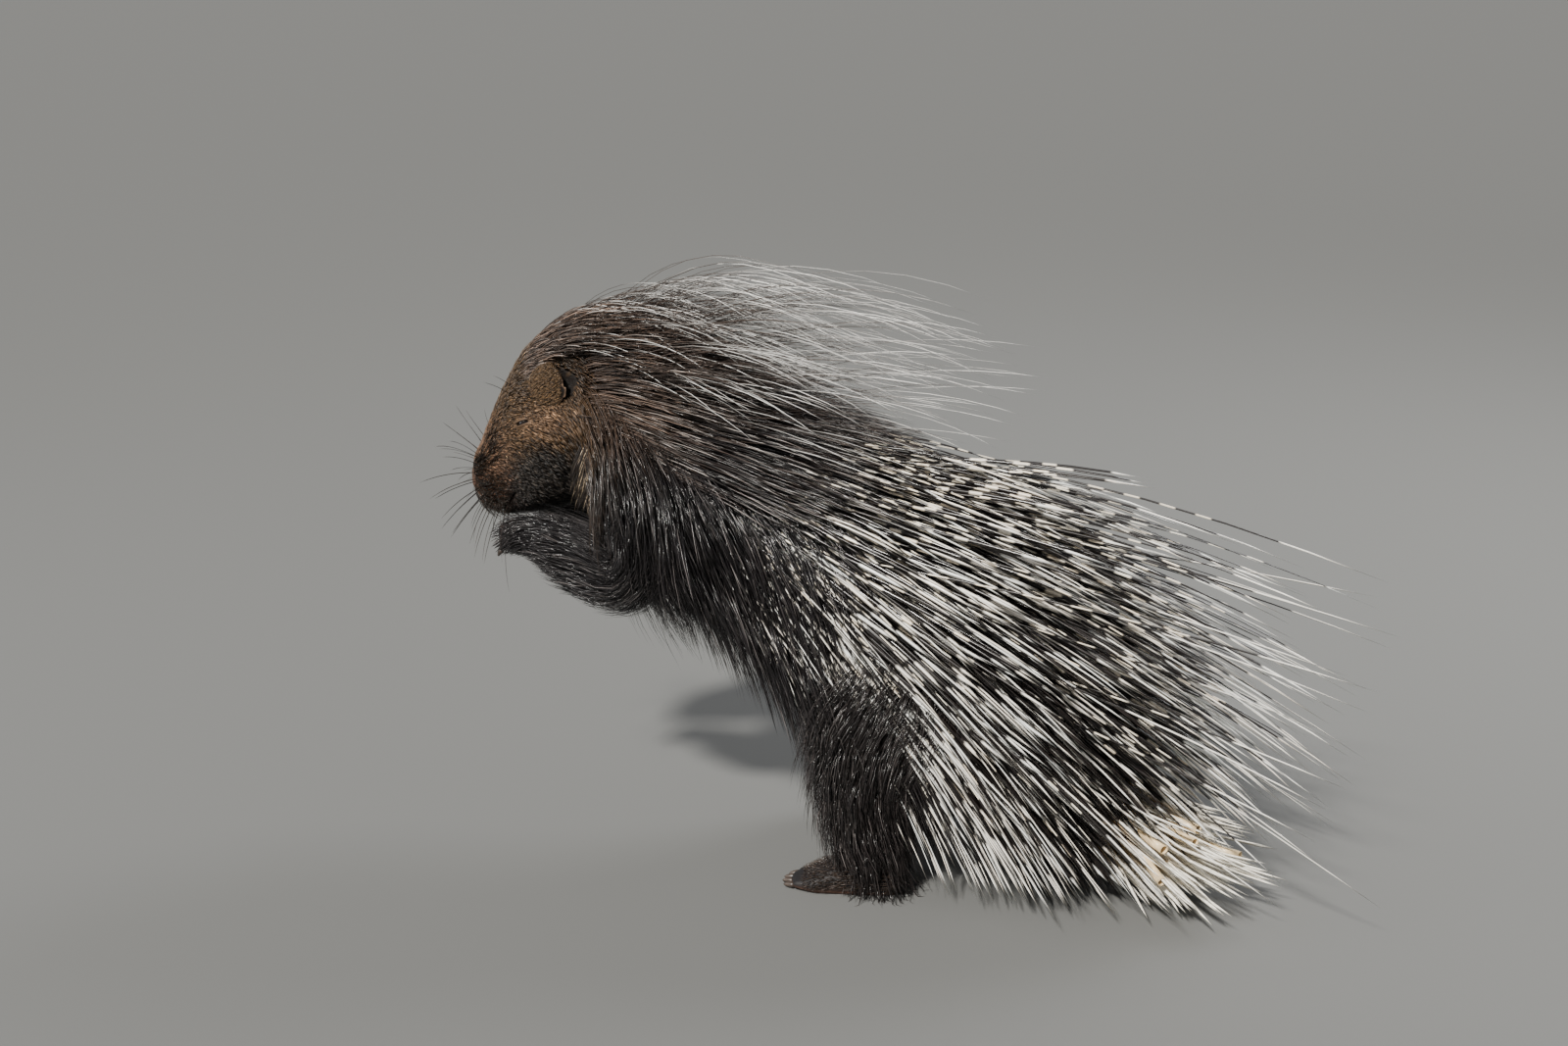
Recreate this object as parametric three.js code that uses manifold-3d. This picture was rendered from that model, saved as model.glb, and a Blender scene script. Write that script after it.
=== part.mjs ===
// A crested porcupine reared up on its hind feet, life size, in millimetres with +Z up.
// It faces -X and its left side is towards -Y. The sizes below are counted from a spot on the
// floor beside the left hind ankle, and the finished group is moved so that its origin lies on
// the floor under the middle of the whole animal.
import * as THREE from "three";
import { mergeVertices } from "three/addons/utils/BufferGeometryUtils.js";
import Module from "manifold-3d";

const wasm = await Module();
wasm.setup();

// Driving dimensions
const MIDDLE = [3, 1]; // middle of the whole animal's box
const GAP = 0.3; // what touching pieces keep between them
const TRUNK_SIDES = 20; // sides of a section through head and trunk
const LIMB_SIDES = 12;
const HEAD_TURN = 13; // degrees, to the animal's left

// Head and trunk are one form. Each section gives its point on the back line, the point of the
// belly line across from it, the half width, how much fuller it is below than above, and how
// far it is turned to the left round the neck.
const SECTIONS = [
  { back: [-401.5, 374], belly: [-401, 366], wide: 3, pear: 0, turn: HEAD_TURN },
  { back: [-400, 388], belly: [-399, 350], wide: 15, pear: 0, turn: HEAD_TURN },
  { back: [-394, 400], belly: [-391, 338], wide: 22, pear: 0, turn: HEAD_TURN },
  { back: [-387, 417], belly: [-378, 331], wide: 27, pear: 0.05, turn: HEAD_TURN },
  { back: [-378, 438], belly: [-362, 330], wide: 33, pear: 0.1, turn: HEAD_TURN },
  { back: [-365, 464], belly: [-344, 333], wide: 41, pear: 0.16, turn: HEAD_TURN },
  { back: [-347, 492], belly: [-322, 338], wide: 49, pear: 0.2, turn: HEAD_TURN },
  { back: [-322, 510], belly: [-302, 345], wide: 55, pear: 0.2, turn: 11 },
  { back: [-290, 510], belly: [-287, 350], wide: 61, pear: 0.16, turn: 8 },
  { back: [-254, 498], belly: [-276, 338], wide: 71, pear: 0.12, turn: 4 },
  { back: [-204, 473], belly: [-256, 316], wide: 84, pear: 0.08, turn: 0 },
  { back: [-129, 443], belly: [-200, 270], wide: 96, pear: 0.05, turn: 0 },
  { back: [-34, 410], belly: [-112, 208], wide: 107, pear: 0.05, turn: 0 },
  { back: [62, 346], belly: [-28, 130], wide: 116, pear: 0.08, turn: 0 },
  { back: [154, 254], belly: [64, 64], wide: 108, pear: 0.08, turn: 0 },
  { back: [208, 158], belly: [142, 40], wide: 72, pear: 0, turn: 0 },
  { back: [230, 112], belly: [190, 42], wide: 42, pear: 0, turn: 0 },
];
const NECK_PIVOT = [-288, 431]; // where the head turns, on the middle plane

// Where the trunk is parted, counted in sections
const HEAD_END = 8;
const NECK_END = 9.6;
const SHOULDER_END = 11.4;
const TORSO_END = 15.5;

// Limbs of the left side: place, half width and half depth of each section
const ARM = [
  [-196, -50, 385, 40, 46], [-206, -70, 340, 34, 42], [-214, -80, 302, 27, 30],
  [-236, -80, 283, 23, 23], [-285, -70, 293, 20, 20], [-328, -61, 309, 15, 14],
  [-346, -58, 311, 17, 13], [-360, -56, 309, 17, 10],
];
const ELBOW = [-216, -80, 292];
const WRIST = [-330, -60, 310];
const LEG = [
  [80, -60, 250, 36, 50], [50, -76, 200, 42, 78], [20, -89, 150, 40, 68], [8, -93, 100, 33, 48],
  [12, -95, 60, 29, 38], [18, -95, 34, 25, 32], [20, -95, 18, 20, 25],
];
const KNEE = [8, -95, 116];
const FOOT = [
  [50, -95, 12, 12, 10], [38, -95, 14, 19, 19], [0, -96, 12, 21, 21], [-34, -97, 8, 25, 14],
  [-50, -98, 6, 22, 9],
];
const HIND_TOE = { count: 4, spread: 12, fan: 8, length: 22, radius: 6.2, claw: 15 };
const FORE_TOE = { count: 4, spread: 8.6, fan: 6, length: 17, radius: 4.6, claw: 12 };

// Face, counted from the neck's pivot: s backwards, z upwards, in the head's middle plane
const EYE = { s: -60, z: -1.5, radius: 7, slit: 11, lift: 18 };
const EAR = { s: -25, z: 40, radii: [26, 13, 26], wall: 2.2, set: 5 };
const MOUTH = { from: [-91, -112], to: [-70, -73], gap: 1.4, depth: 12, lip: 1.6 };
const NOSTRIL = { from: [-109, -55], to: [-105, -73], out: 8, gap: 1.5, depth: 7 };
const WHISKERS = { rows: 4, columns: 2, length: 104, thick: 0.55 };

// What grows on the coat. Lengths in millimetres, angles in degrees, and round the body an angle
// of 0 is on the back, 90 on the left flank and -90 on the right one.
const QUILL_ROWS = 14;
const QUILL_STEP = 37; // between quills of one row
const QUILL_LOW = 122; // how far down the flanks quills grow
const QUILL_CLEAR = 4; // height above the floor at which a hanging quill ends
const CREST_ROWS = 6;
const TAIL_QUILLS = 34;
const RATTLE = { count: 5, stalk: 1.3, cup: 3.2, wall: 0.7, length: 58, hollow: 24 };

const DEG = Math.PI / 180;
const point = (x, y, z) => new THREE.Vector3(x, y, z);
const mix = (a, b, share) => a + (b - a) * share;
const LEFT = 1;
const RIGHT = -1;

// The same draws on every run.
function dice(seed) {
  let state = seed;
  return (low = 0, high = 1) => {
    state = (state * 1664525 + 1013904223) % 4294967296;
    return low + ((high - low) * state) / 4294967296;
  };
}

// A value read between listed ones, such as [[0, 5], [10, 8]].
function between(list, at) {
  const next = list.findIndex(([where]) => where >= at);
  if (next <= 0) return list[next === 0 ? 0 : list.length - 1][1];
  const [x0, y0] = list[next - 1];
  const [x1, y1] = list[next];
  return mix(y0, y1, (at - x0) / (x1 - x0));
}

// A unit vector from its rise above level and its turn to the left of straight back.
function heading(rise, turn) {
  const level = Math.cos(rise * DEG);
  return point(level * Math.cos(turn * DEG), -level * Math.sin(turn * DEG), Math.sin(rise * DEG));
}

// Solids

// A closed mesh as a solid that can be joined and cut.
function solid(geometry) {
  const bare = new THREE.BufferGeometry();
  bare.setAttribute("position", geometry.getAttribute("position"));
  bare.setIndex(geometry.index);
  const merged = mergeVertices(bare, 1e-4);
  return new wasm.Manifold(new wasm.Mesh({
    numProp: 3,
    vertProperties: new Float32Array(merged.getAttribute("position").array),
    triVerts: new Uint32Array(merged.index.array),
  }));
}

function join(pieces) {
  return wasm.Manifold.union(pieces);
}

// The largest closed surface of a solid.
function largest(made) {
  return made.decompose().reduce((best, piece) => (piece.volume() > best.volume() ? piece : best));
}

// Closed skin through rings of equal count. It ends in a flat fan, or in a tip if one is given.
function skin(rings, tip) {
  const count = rings[0].length;
  const last = (rings.length - 1) * count;
  const middle = (ring) => ring.reduce((sum, p) => sum.add(p), point(0, 0, 0)).divideScalar(count);
  const ends = [middle(rings[0]), tip ?? middle(rings[rings.length - 1])];
  const places = [...rings.flat(), ...ends].flatMap((p) => p.toArray());
  const faces = [];
  for (let i = 0; i < last; i += count) {
    for (let k = 0; k < count; k += 1) {
      const a = i + k;
      const b = i + ((k + 1) % count);
      faces.push(a, b, b + count, a, b + count, a + count);
    }
  }
  const root = last + count;
  for (let k = 0; k < count; k += 1) {
    const next = (k + 1) % count;
    faces.push(root, next, k, root + 1, last + k, last + next);
  }
  const geometry = new THREE.BufferGeometry();
  geometry.setAttribute("position", new THREE.Float32BufferAttribute(places, 3));
  geometry.setIndex(faces);
  return solid(geometry);
}

// A form is a function (station, round, grow) that gives a point of a surface: station counts
// along it, round is the angle from the back towards the left, and grow moves it outwards.
// This makes a length of it solid.
function tube(form, from, to, { steps, sides = LIMB_SIDES, grow = 0 }) {
  const rings = [];
  for (let i = 0; i <= steps; i += 1) {
    const station = mix(from, to, i / steps);
    rings.push(Array.from({ length: sides }, (_, k) => form(station, (360 * k) / sides, grow)));
  }
  return skin(rings);
}

// Place, backward direction, direction round the form and outward direction at a spot of it.
function spotOn(form, station, round, step = 0.02) {
  const turn = 1;
  const at = form(station, round, 0);
  const back = form(station + step, round, 0).sub(form(station - step, round, 0));
  const side = form(station, round + turn, 0).sub(form(station, round - turn, 0));
  const out = side.clone().cross(back).normalize();
  return {
    at, out, back: back.clone().normalize(), side: side.clone().normalize(),
    perStation: back.length() / (2 * step), perDegree: side.length() / (2 * turn),
  };
}

function lineThrough(list, shape = "centripetal") {
  return new THREE.CatmullRomCurve3(list, false, shape, 0.5);
}

const LAST = SECTIONS.length - 1;
const BACK_LINE = lineThrough(SECTIONS.map((s) => point(s.back[0], 0, s.back[1])));
const BELLY_LINE = lineThrough(SECTIONS.map((s) => point(s.belly[0], 0, s.belly[1])));
const GIRTH = lineThrough(SECTIONS.map((s) => point(s.wide, s.pear, 0)), "catmullrom");
const TURN = SECTIONS.map((s, i) => [i, s.turn]);

// Turns a point round the neck, to the left.
function turned(x, y, z, degrees) {
  const away = point(x - NECK_PIVOT[0], y, z).applyAxisAngle(point(0, 0, 1), degrees * DEG);
  return away.add(point(NECK_PIVOT[0], 0, 0));
}

// Head and trunk.
function trunk(station, round, grow) {
  const back = BACK_LINE.getPoint(station / LAST);
  const belly = BELLY_LINE.getPoint(station / LAST);
  const girth = GIRTH.getPoint(station / LAST);
  const centre = back.clone().add(belly).multiplyScalar(0.5);
  const up = back.sub(belly).multiplyScalar(0.5);
  up.setLength(up.length() + grow);
  const lift = Math.cos(round * DEG);
  const across = -Math.sin(round * DEG) * (girth.x + grow) * (1 - girth.y * lift);
  return turned(centre.x + up.x * lift, across, centre.z + up.z * lift, between(TURN, station));
}

// An oval form along a path of stations [x, y, z, half width, half depth]; its own station runs
// from 0 to 1, and across is the direction in which the width is measured.
function oval(stations, across = [0, 1, 0]) {
  const path = lineThrough(stations.map(([x, y, z]) => point(x, y, z)));
  const sizes = lineThrough(stations.map(([, , , w, h]) => point(w, h, 0)), "catmullrom");
  const side = point(...across);
  return (station, round, grow) => {
    const tangent = path.getTangent(station);
    const top = tangent.clone().cross(side).normalize();
    const flat = tangent.clone().cross(top).normalize();
    const size = sizes.getPoint(station);
    return path.getPoint(station)
      .addScaledVector(top, Math.cos(round * DEG) * (size.y + grow))
      .addScaledVector(flat, Math.sin(round * DEG) * (size.x + grow));
  };
}

const onSide = (stations, side) => stations.map(([x, y, z, ...sizes]) => [x, side * y, z, ...sizes]);

// An egg shape with its long axis turned in the head's plane and out of it.
function egg(centre, radii, { sides = 12, rise = 0, turn = 0 } = {}) {
  const geometry = new THREE.SphereGeometry(1, sides, Math.round(sides * 0.6));
  geometry.scale(...radii);
  geometry.rotateY(-rise * DEG);
  geometry.rotateZ(turn * DEG);
  geometry.translate(...centre.toArray());
  return solid(geometry);
}

function block(low, high) {
  const geometry = new THREE.BoxGeometry(...high.map((v, i) => v - low[i]));
  geometry.translate(...high.map((v, i) => (v + low[i]) / 2));
  return solid(geometry);
}

const UNDER_FLOOR = block([-700, -500, -400], [700, 500, 0]);

// All that lies beyond a plane, on the side its direction points to.
function beyond(place, direction, shift, reach) {
  const geometry = new THREE.BoxGeometry(2 * reach, 2 * reach, reach);
  geometry.translate(0, 0, reach / 2 + shift);
  const turn = new THREE.Quaternion().setFromUnitVectors(point(0, 0, 1), point(...direction).normalize());
  geometry.applyQuaternion(turn);
  geometry.translate(...place);
  return solid(geometry);
}

// Parts a form with a thin cut, into what lies behind the plane and what lies beyond it.
function parted(made, place, direction, reach) {
  const before = made.subtract(beyond(place, direction, -GAP / 2, reach));
  return [before, made.intersect(beyond(place, direction, GAP / 2, reach))];
}

// Quills, bristles and locks

// A tapered three-sided growth through points, the last one its tip: widths are half widths,
// depths are whole, and out is the way its ridge faces.
function growth(points, widths, depths, out, grow = 0) {
  const rings = widths.map((width, i) => {
    const tangent = points[i + 1].clone().sub(points[Math.max(0, i - 1)]).normalize();
    const flat = out.clone().cross(tangent).normalize();
    const top = tangent.clone().cross(flat);
    const half = width + grow * 1.7;
    return [
      points[i].clone().addScaledVector(flat, half).addScaledVector(top, -depths[i] / 3 - grow),
      points[i].clone().addScaledVector(top, (2 * depths[i]) / 3 + 2 * grow),
      points[i].clone().addScaledVector(flat, -half).addScaledVector(top, -depths[i] / 3 - grow),
    ];
  });
  const end = points[points.length - 1].clone();
  const on = end.clone().sub(points[points.length - 2]).setLength(Math.max(grow * 3, 1e-3));
  return skin(rings, end.add(on));
}

// A round quill or bristle that leaves its root in one direction and ends in another.
function quill({ root, out, start, end, length, radius, sink = 5, shares = [0.5] }, grow = 0) {
  const curve = end.clone().sub(start).multiplyScalar(0.5);
  const along = (share) => root.clone()
    .addScaledVector(start, share * length)
    .addScaledVector(curve, share * share * length);
  const foot = root.clone().addScaledVector(out, -sink * 0.7).addScaledVector(start, -sink * 0.7);
  const points = [foot, ...shares.map(along), along(1)];
  const swelling = [[0, 0.9], [0.3, 1], [0.75, 0.72], [1, 0.3]];
  const swell = [0.75, ...shares.map((share) => between(swelling, share))];
  const radii = swell.map((part) => part * radius);
  return growth(points, radii.map((r) => r * 0.87), radii.map((r) => r * 1.5), out, grow);
}

// A flat lock that lies along a form: turn is how far it swings towards the belly.
function lock(form, { station, round, length, half, depth, turn, rise, sink = 5 }, lift, grow = 0) {
  const spot = spotOn(form, station, round);
  const down = Math.sign(round) || 1;
  let alongStep = (Math.cos(turn * DEG) * length) / spot.perStation;
  let roundStep = (down * Math.sin(turn * DEG) * length) / spot.perDegree;
  for (let i = 0; i < 3; i += 1) {
    const reach = form(station + alongStep, round + roundStep, 0).distanceTo(spot.at);
    alongStep *= length / reach;
    roundStep *= length / reach;
  }
  const shares = [-0.1, 0.35, 0.75, 1];
  const heights = [-sink, 0.5 * rise, rise, rise].map((h, i) => h + lift * Math.max(0, shares[i]));
  const points = shares.map((share, i) => (
    form(station + alongStep * share, round + roundStep * share, heights[i])));
  const widths = [0.75, 1, 0.66].map((part) => part * half);
  const depths = [1, 1, 0.7].map((part) => part * depth);
  return growth(points, widths, depths, spot.out, grow);
}

// Joins growths to their node. Each is a function (lift, grow) that makes it; it takes the
// least lift at which it stays clear of the neighbours, and is left out where none does.
const LIFTS = [0, 4, 9, 15, 22];
function graft(node, makers, neighbours) {
  const grown = [];
  for (const make of makers) {
    const clear = (lift) => {
      const tried = make(lift, GAP);
      return neighbours.every((other) => tried.intersect(other).isEmpty());
    };
    const lift = LIFTS.find(clear);
    if (lift !== undefined) grown.push(make(lift, 0));
  }
  return largest(join([node, ...grown]));
}

// Head

const faceLine = ([s, z], out) => turned(NECK_PIVOT[0] + s, out, NECK_PIVOT[1] + z, HEAD_TURN);

// The station and angle of the head's skin at a place of its middle plane.
function headSpot(s, z, side) {
  const place = point(NECK_PIVOT[0] + s, 0, NECK_PIVOT[1] + z);
  let low = 0;
  let high = HEAD_END + 1;
  let lift = 0;
  for (let i = 0; i < 24; i += 1) {
    const station = (low + high) / 2;
    const back = BACK_LINE.getPoint(station / LAST);
    const belly = BELLY_LINE.getPoint(station / LAST);
    const up = back.clone().sub(belly).multiplyScalar(0.5);
    const away = place.clone().sub(belly).sub(up);
    if (up.x * away.z - up.z * away.x < 0) low = station;
    else high = station;
    lift = THREE.MathUtils.clamp(away.dot(up) / up.lengthSq(), -1, 1);
  }
  return spotOn(trunk, low, (side * Math.acos(lift)) / DEG);
}

function headForm(grow = 0, steps = 13, sides = TRUNK_SIDES) {
  return tube(trunk, 0, HEAD_END, { steps, sides, grow });
}

// A plain form under the skin, for the floors of cuts.
const underSkin = (depth) => headForm(-depth, 6, 10);

function eyeball(side, grow = 0) {
  const { at, out } = headSpot(EYE.s, EYE.z, side);
  return egg(at.addScaledVector(out, 1 - EYE.radius), Array(3).fill(EYE.radius + grow), { sides: 10 });
}

// The domed lids round the eye, and the narrow slit that they leave.
function lids(side) {
  const { at, out } = headSpot(EYE.s, EYE.z, side);
  return egg(at.addScaledVector(out, -5.6), [13, 8.4, 10.5], { sides: 12, turn: HEAD_TURN });
}

function eyeSlit(side) {
  const { at, out } = headSpot(EYE.s, EYE.z, side);
  const shape = [EYE.slit / 2, 6, 0.8];
  return egg(at.addScaledVector(out, 2), shape, { sides: 8, rise: EYE.lift, turn: HEAD_TURN });
}

// A rounded cup open to the rear, its back rim free and its front grown to the head.
function ear(side) {
  const { at, out } = headSpot(EAR.s, EAR.z, side);
  const centre = at.clone().addScaledVector(out, EAR.set - EAR.radii[1] / 2);
  const back = faceLine([1, 0], 0).sub(faceLine([0, 0], 0));
  const inner = EAR.radii.map((r, i) => r - EAR.wall * (i === 1 ? 1.2 : 1));
  const hollow = centre.clone().addScaledVector(back, 7).addScaledVector(out, -EAR.wall);
  const turn = HEAD_TURN + side * 8;
  const mouth = centre.clone().addScaledVector(back, 22).addScaledVector(out, 3);
  return egg(centre, EAR.radii, { sides: 11, turn })
    .subtract(egg(hollow, inner, { sides: 9, turn }))
    .subtract(egg(mouth, [15, 20, 20], { sides: 7, turn }));
}

// The hollow in the head behind the ear's rim.
function earPit(side) {
  const { at, out } = headSpot(EAR.s + 13, EAR.z - 2, side);
  return egg(at.addScaledVector(out, 1), [12, 8, 19], { sides: 10, turn: HEAD_TURN });
}

function mouthWedge(half, past = 0) {
  const { from } = MOUTH;
  const to = [MOUTH.to[0] + past, MOUTH.to[1] + past];
  const bow = [mix(from[0], to[0], 0.5) - 3, mix(from[1], to[1], 0.5) - 2];
  const stations = [from, bow, to].map((p, i) => {
    const place = faceLine(p, 0);
    return [...place.toArray(), 48, half * (1 - 0.25 * i)];
  });
  const across = faceLine([0, 0], 1).sub(faceLine([0, 0], 0)).toArray();
  return tube(oval(stations, across), 0, 1, { steps: 3, sides: 6 });
}

function nostril(side) {
  const stations = [NOSTRIL.from, NOSTRIL.to].map((p, i) => {
    const place = faceLine(p, side * -(NOSTRIL.out + 3 * i));
    return [...place.toArray(), NOSTRIL.gap, NOSTRIL.depth];
  });
  return tube(oval(stations, [0.2, 1, 0]), 0, 1, { steps: 2, sides: 6 });
}

// One whisker: they fan out from the side of the muzzle, upwards, forwards and down.
function whisker(side, row, column, roll) {
  const s = -93 + column * 9;
  const z = -44 - row * 9 - column * 3;
  const spot = headSpot(s, z, side);
  const rise = mix(58, -48, row / (WHISKERS.rows - 1)) + roll(-8, 8) - column * 6;
  const turn = side * (180 - HEAD_TURN * side - 28 - column * 16);
  const length = WHISKERS.length * roll(0.72, 1);
  const start = heading(rise * 0.8, turn);
  const end = heading(rise, turn - side * 8);
  return (lift, grow) => quill({
    root: spot.at, out: spot.out, start, end, length, radius: WHISKERS.thick, sink: 3, shares: [0.45],
  }, grow);
}

function whiskers(side) {
  const roll = dice(40 + side);
  const made = [];
  for (let row = 0; row < WHISKERS.rows; row += 1) {
    for (let column = 0; column < WHISKERS.columns; column += 1) {
      made.push(whisker(side, row, column, roll));
    }
  }
  return made;
}

// Bristles of crown, nape and shoulders: they rise, bend over and trail back.
function crestBristle(station, round, roll) {
  const spot = spotOn(trunk, station, round);
  const rise = between([[7, 52], [8.2, 58], [9.2, 50], [10.2, 38], [11.4, 22]], station);
  const drop = between([[7, -20], [8.2, -34], [9.2, -28], [10.2, -20], [11.4, -12]], station);
  const length = between([[7, 120], [7.8, 200], [8.4, 330], [9.4, 410], [10.4, 370], [11.2, 290]], station);
  const lean = Math.abs(round);
  const swing = round * 0.32 + roll(-7, 7);
  const first = rise - lean * 0.42 + roll(-7, 7);
  const last = drop - lean * 0.12 + roll(-8, 8);
  const size = length * roll(0.72, 1.06) * (1 - lean / 260);
  return (lift, grow) => quill({
    root: spot.at, out: spot.out,
    start: heading(first + lift * 0.5, swing), end: heading(last + lift * 0.5, swing * 0.4),
    length: size, radius: 1.5, shares: [0.3, 0.68],
  }, grow);
}

function crest(from, to, rows, widest, step, seed) {
  const roll = dice(seed);
  const made = [];
  for (let row = 0; row < rows; row += 1) {
    const station = mix(from, to, rows > 1 ? row / (rows - 1) : 0);
    const { perDegree } = spotOn(trunk, station, 0);
    const count = Math.max(2, Math.round((2 * widest * perDegree) / step));
    for (let i = 0; i < count; i += 1) {
      const round = mix(-widest, widest, (i + 0.5 * (row % 2) + 0.25) / count);
      made.push(crestBristle(station + roll(-0.08, 0.08), round, roll));
    }
  }
  return made;
}

// Rows of flat locks on a form, staggered from row to row.
function locks(form, { rows, step, from, to, length, half, depth, rise, turn, seed, spare = () => false }) {
  const roll = dice(seed);
  const made = [];
  rows.forEach((station, row) => {
    const { perDegree } = spotOn(form, station, 90);
    const count = Math.round(((to - from) * perDegree) / step);
    for (let i = 0; i < count; i += 1) {
      for (const side of [LEFT, RIGHT]) {
        const round = side * mix(from, to, (i + (row % 2 ? 0.75 : 0.25)) / count);
        const shape = {
          station: station + roll(-0.03, 0.03), round, length: length * roll(0.86, 1.14),
          half: half * roll(0.85, 1.15), depth, rise: rise * roll(0.8, 1.3),
          turn: (typeof turn === "function" ? turn(Math.abs(round)) : turn) + roll(-7, 7),
        };
        if (!spare(station, round)) made.push((lift, grow) => lock(form, shape, lift, grow));
      }
    }
  });
  return made;
}

// Body quills: short in front, long and slender over the back, stout on the rump. They lie
// level along the back and slope down on the flanks.
function bodyQuill(station, round, roll) {
  const spot = spotOn(trunk, station, round);
  const lift = Math.cos(round * DEG);
  const top = Math.max(0, lift) ** 0.7;
  const level = between([[11.4, -7], [12.2, -3], [13, 4], [14, 13], [15.4, 27]], station);
  const slope = between([[11.4, 34], [13, 39], [15.4, 37]], station);
  const topLength = between(
    [[11.4, 300], [12, 390], [12.8, 410], [13.6, 360], [14.4, 300], [15.4, 215]], station);
  const sideLength = between([[11.4, 60], [12.2, 105], [13, 170], [14, 225], [15.4, 215]], station);
  const fall = mix(slope, level, top) - Math.min(0, lift) * 22 + roll(-5, 5);
  const swing = Math.sin(round * DEG) * between([[11.4, 16], [13, 15], [15.4, 20]], station) + roll(-4, 4);
  const stout = roll() < 0.35;
  const radius = stout ? 2.9 : 2;
  const bend = stout ? 2 : 9;
  const share = stout ? roll(0.55, 0.75) : roll(0.82, 1.08);
  const wanted = share * mix(sideLength, topLength, top);
  const room = (spot.at.z - QUILL_CLEAR) / Math.sin(Math.max(5, fall + bend / 2) * DEG);
  const length = Math.min(wanted, room);
  const apart = Math.sign(swing) * 0.5;
  return (extra, grow) => quill({
    root: spot.at, out: spot.out, start: heading(-fall + extra * 0.6, swing + apart * extra),
    end: heading(-fall - bend, swing + apart * extra), length, radius,
  }, grow);
}

function bodyQuills() {
  const roll = dice(7);
  const made = [];
  for (let row = 0; row < QUILL_ROWS; row += 1) {
    const share = row / (QUILL_ROWS - 1);
    const station = mix(11.72, 15.4, share * (1.25 - 0.25 * share));
    const { perDegree } = spotOn(trunk, station, 60);
    const low = QUILL_LOW - 14 * Math.max(0, share - 0.55) / 0.45;
    const count = Math.round((2 * low * perDegree) / QUILL_STEP);
    for (let i = 0; i < count; i += 1) {
      const round = mix(-low, low, (i + 0.5 * (row % 2) + 0.25) / count) + roll(-3, 3);
      made.push(bodyQuill(station + roll(-0.06, 0.06), round, roll));
    }
  }
  return made;
}

// The coat of the underside hangs free.
function bellyFringe() {
  const roll = dice(21);
  const made = [];
  for (const station of [11.7, 12.15, 12.6, 13.05]) {
    for (const round of [118, 138, 158, 178, -162, -142, -122]) {
      const spot = spotOn(trunk, station, round + roll(-4, 4));
      const start = spot.back.clone().multiplyScalar(0.9).addScaledVector(spot.out, 0.35).normalize();
      const end = heading(-72, 0);
      const length = roll(42, 62);
      made.push((lift, grow) => {
        const points = [-0.12, 0.3, 0.65, 1].map((share) => spot.at.clone()
          .addScaledVector(start, share * length)
          .addScaledVector(end.clone().sub(start), (share * Math.abs(share) * length) / 2)
          .addScaledVector(spot.out, share < 0 ? -4 : 0));
        return growth(points, [7, 8, 5], [3.4, 3.2, 2], spot.out, grow);
      });
    }
  }
  return made;
}

// Tail: a short stub with white quills, and hollow open quills at its end.
const TAIL = [
  [206, -2, 82, 34, 34], [228, -9, 68, 30, 30], [250, -21, 56, 25, 24], [268, -33, 47, 17, 16],
  [276, -38, 43, 7, 7],
];
const tailForm = oval(TAIL);

function tailQuill(i, roll) {
  const golden = 137.5;
  const round = ((i * golden) % 360) - 180;
  const spot = spotOn(tailForm, mix(0.3, 0.94, roll()), round);
  const fall = 17 - 15 * Math.cos(round * DEG) + roll(-5, 5);
  const swing = 28 + 17 * Math.sin(round * DEG) + roll(-6, 6);
  const length = roll(78, 116);
  return (lift, grow) => quill({
    root: spot.at, out: spot.out,
    start: heading(lift - fall - 6, swing), end: heading(lift - fall * 0.8, swing), length, radius: 2.5,
  }, grow);
}

// A rattle quill: a thin stalk that widens to an open cup.
function rattleQuill(i) {
  const { stalk, cup, wall, length, hollow } = RATTLE;
  const profile = [
    [0, 0], [stalk, 0], [stalk, length * 0.42], [cup, length * 0.56], [cup, length],
    [cup - wall, length], [cup - wall, length - hollow], [0, length - hollow],
  ];
  const geometry = new THREE.LatheGeometry(profile.map(([r, y]) => new THREE.Vector2(r, y)), 5);
  const angle = (i / RATTLE.count) * 360;
  const aim = heading(-20 + 11 * Math.cos(angle * DEG), 32 + 13 * Math.sin(angle * DEG));
  geometry.applyQuaternion(new THREE.Quaternion().setFromUnitVectors(point(0, 1, 0), aim));
  const { at, out } = spotOn(tailForm, 0.9, angle);
  const root = at.addScaledVector(out, -4).addScaledVector(aim, -4);
  geometry.translate(...root.toArray());
  return solid(geometry);
}

// Feet

// A toe that narrows to its claw, laid forward from a foot and drooping by a few degrees.
function toe(place, aim, size, droop) {
  const ahead = heading(-droop, 180 + aim);
  const flat = point(0, 0, 1).cross(ahead).normalize();
  const top = ahead.clone().cross(flat);
  const rings = [[-0.4, 1], [0.4, 1.05], [0.86, 0.84], [1.04, 0.42]].map(([share, part]) => (
    Array.from({ length: 5 }, (_, k) => place.clone()
      .addScaledVector(ahead, share * size.length)
      .addScaledVector(flat, Math.cos((72 * k + 18) * DEG) * part * size.radius)
      .addScaledVector(top, Math.sin((72 * k + 18) * DEG) * part * size.radius))));
  const knuckle = place.clone().addScaledVector(ahead, size.length);
  return skin(rings, knuckle.addScaledVector(heading(-droop - 8, 180 + aim), size.claw));
}

function toes(origin, side, size, droop) {
  return Array.from({ length: size.count }, (_, i) => {
    const off = i - (size.count - 1) / 2;
    const inner = Math.abs(off) * 2.4;
    const place = point(origin[0] + inner, side * (origin[1] + off * size.spread), origin[2]);
    return toe(place, -side * off * size.fan, size, droop);
  });
}

// Assembly

const parts = new THREE.Group();
parts.name = "crested_porcupine";

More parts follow.
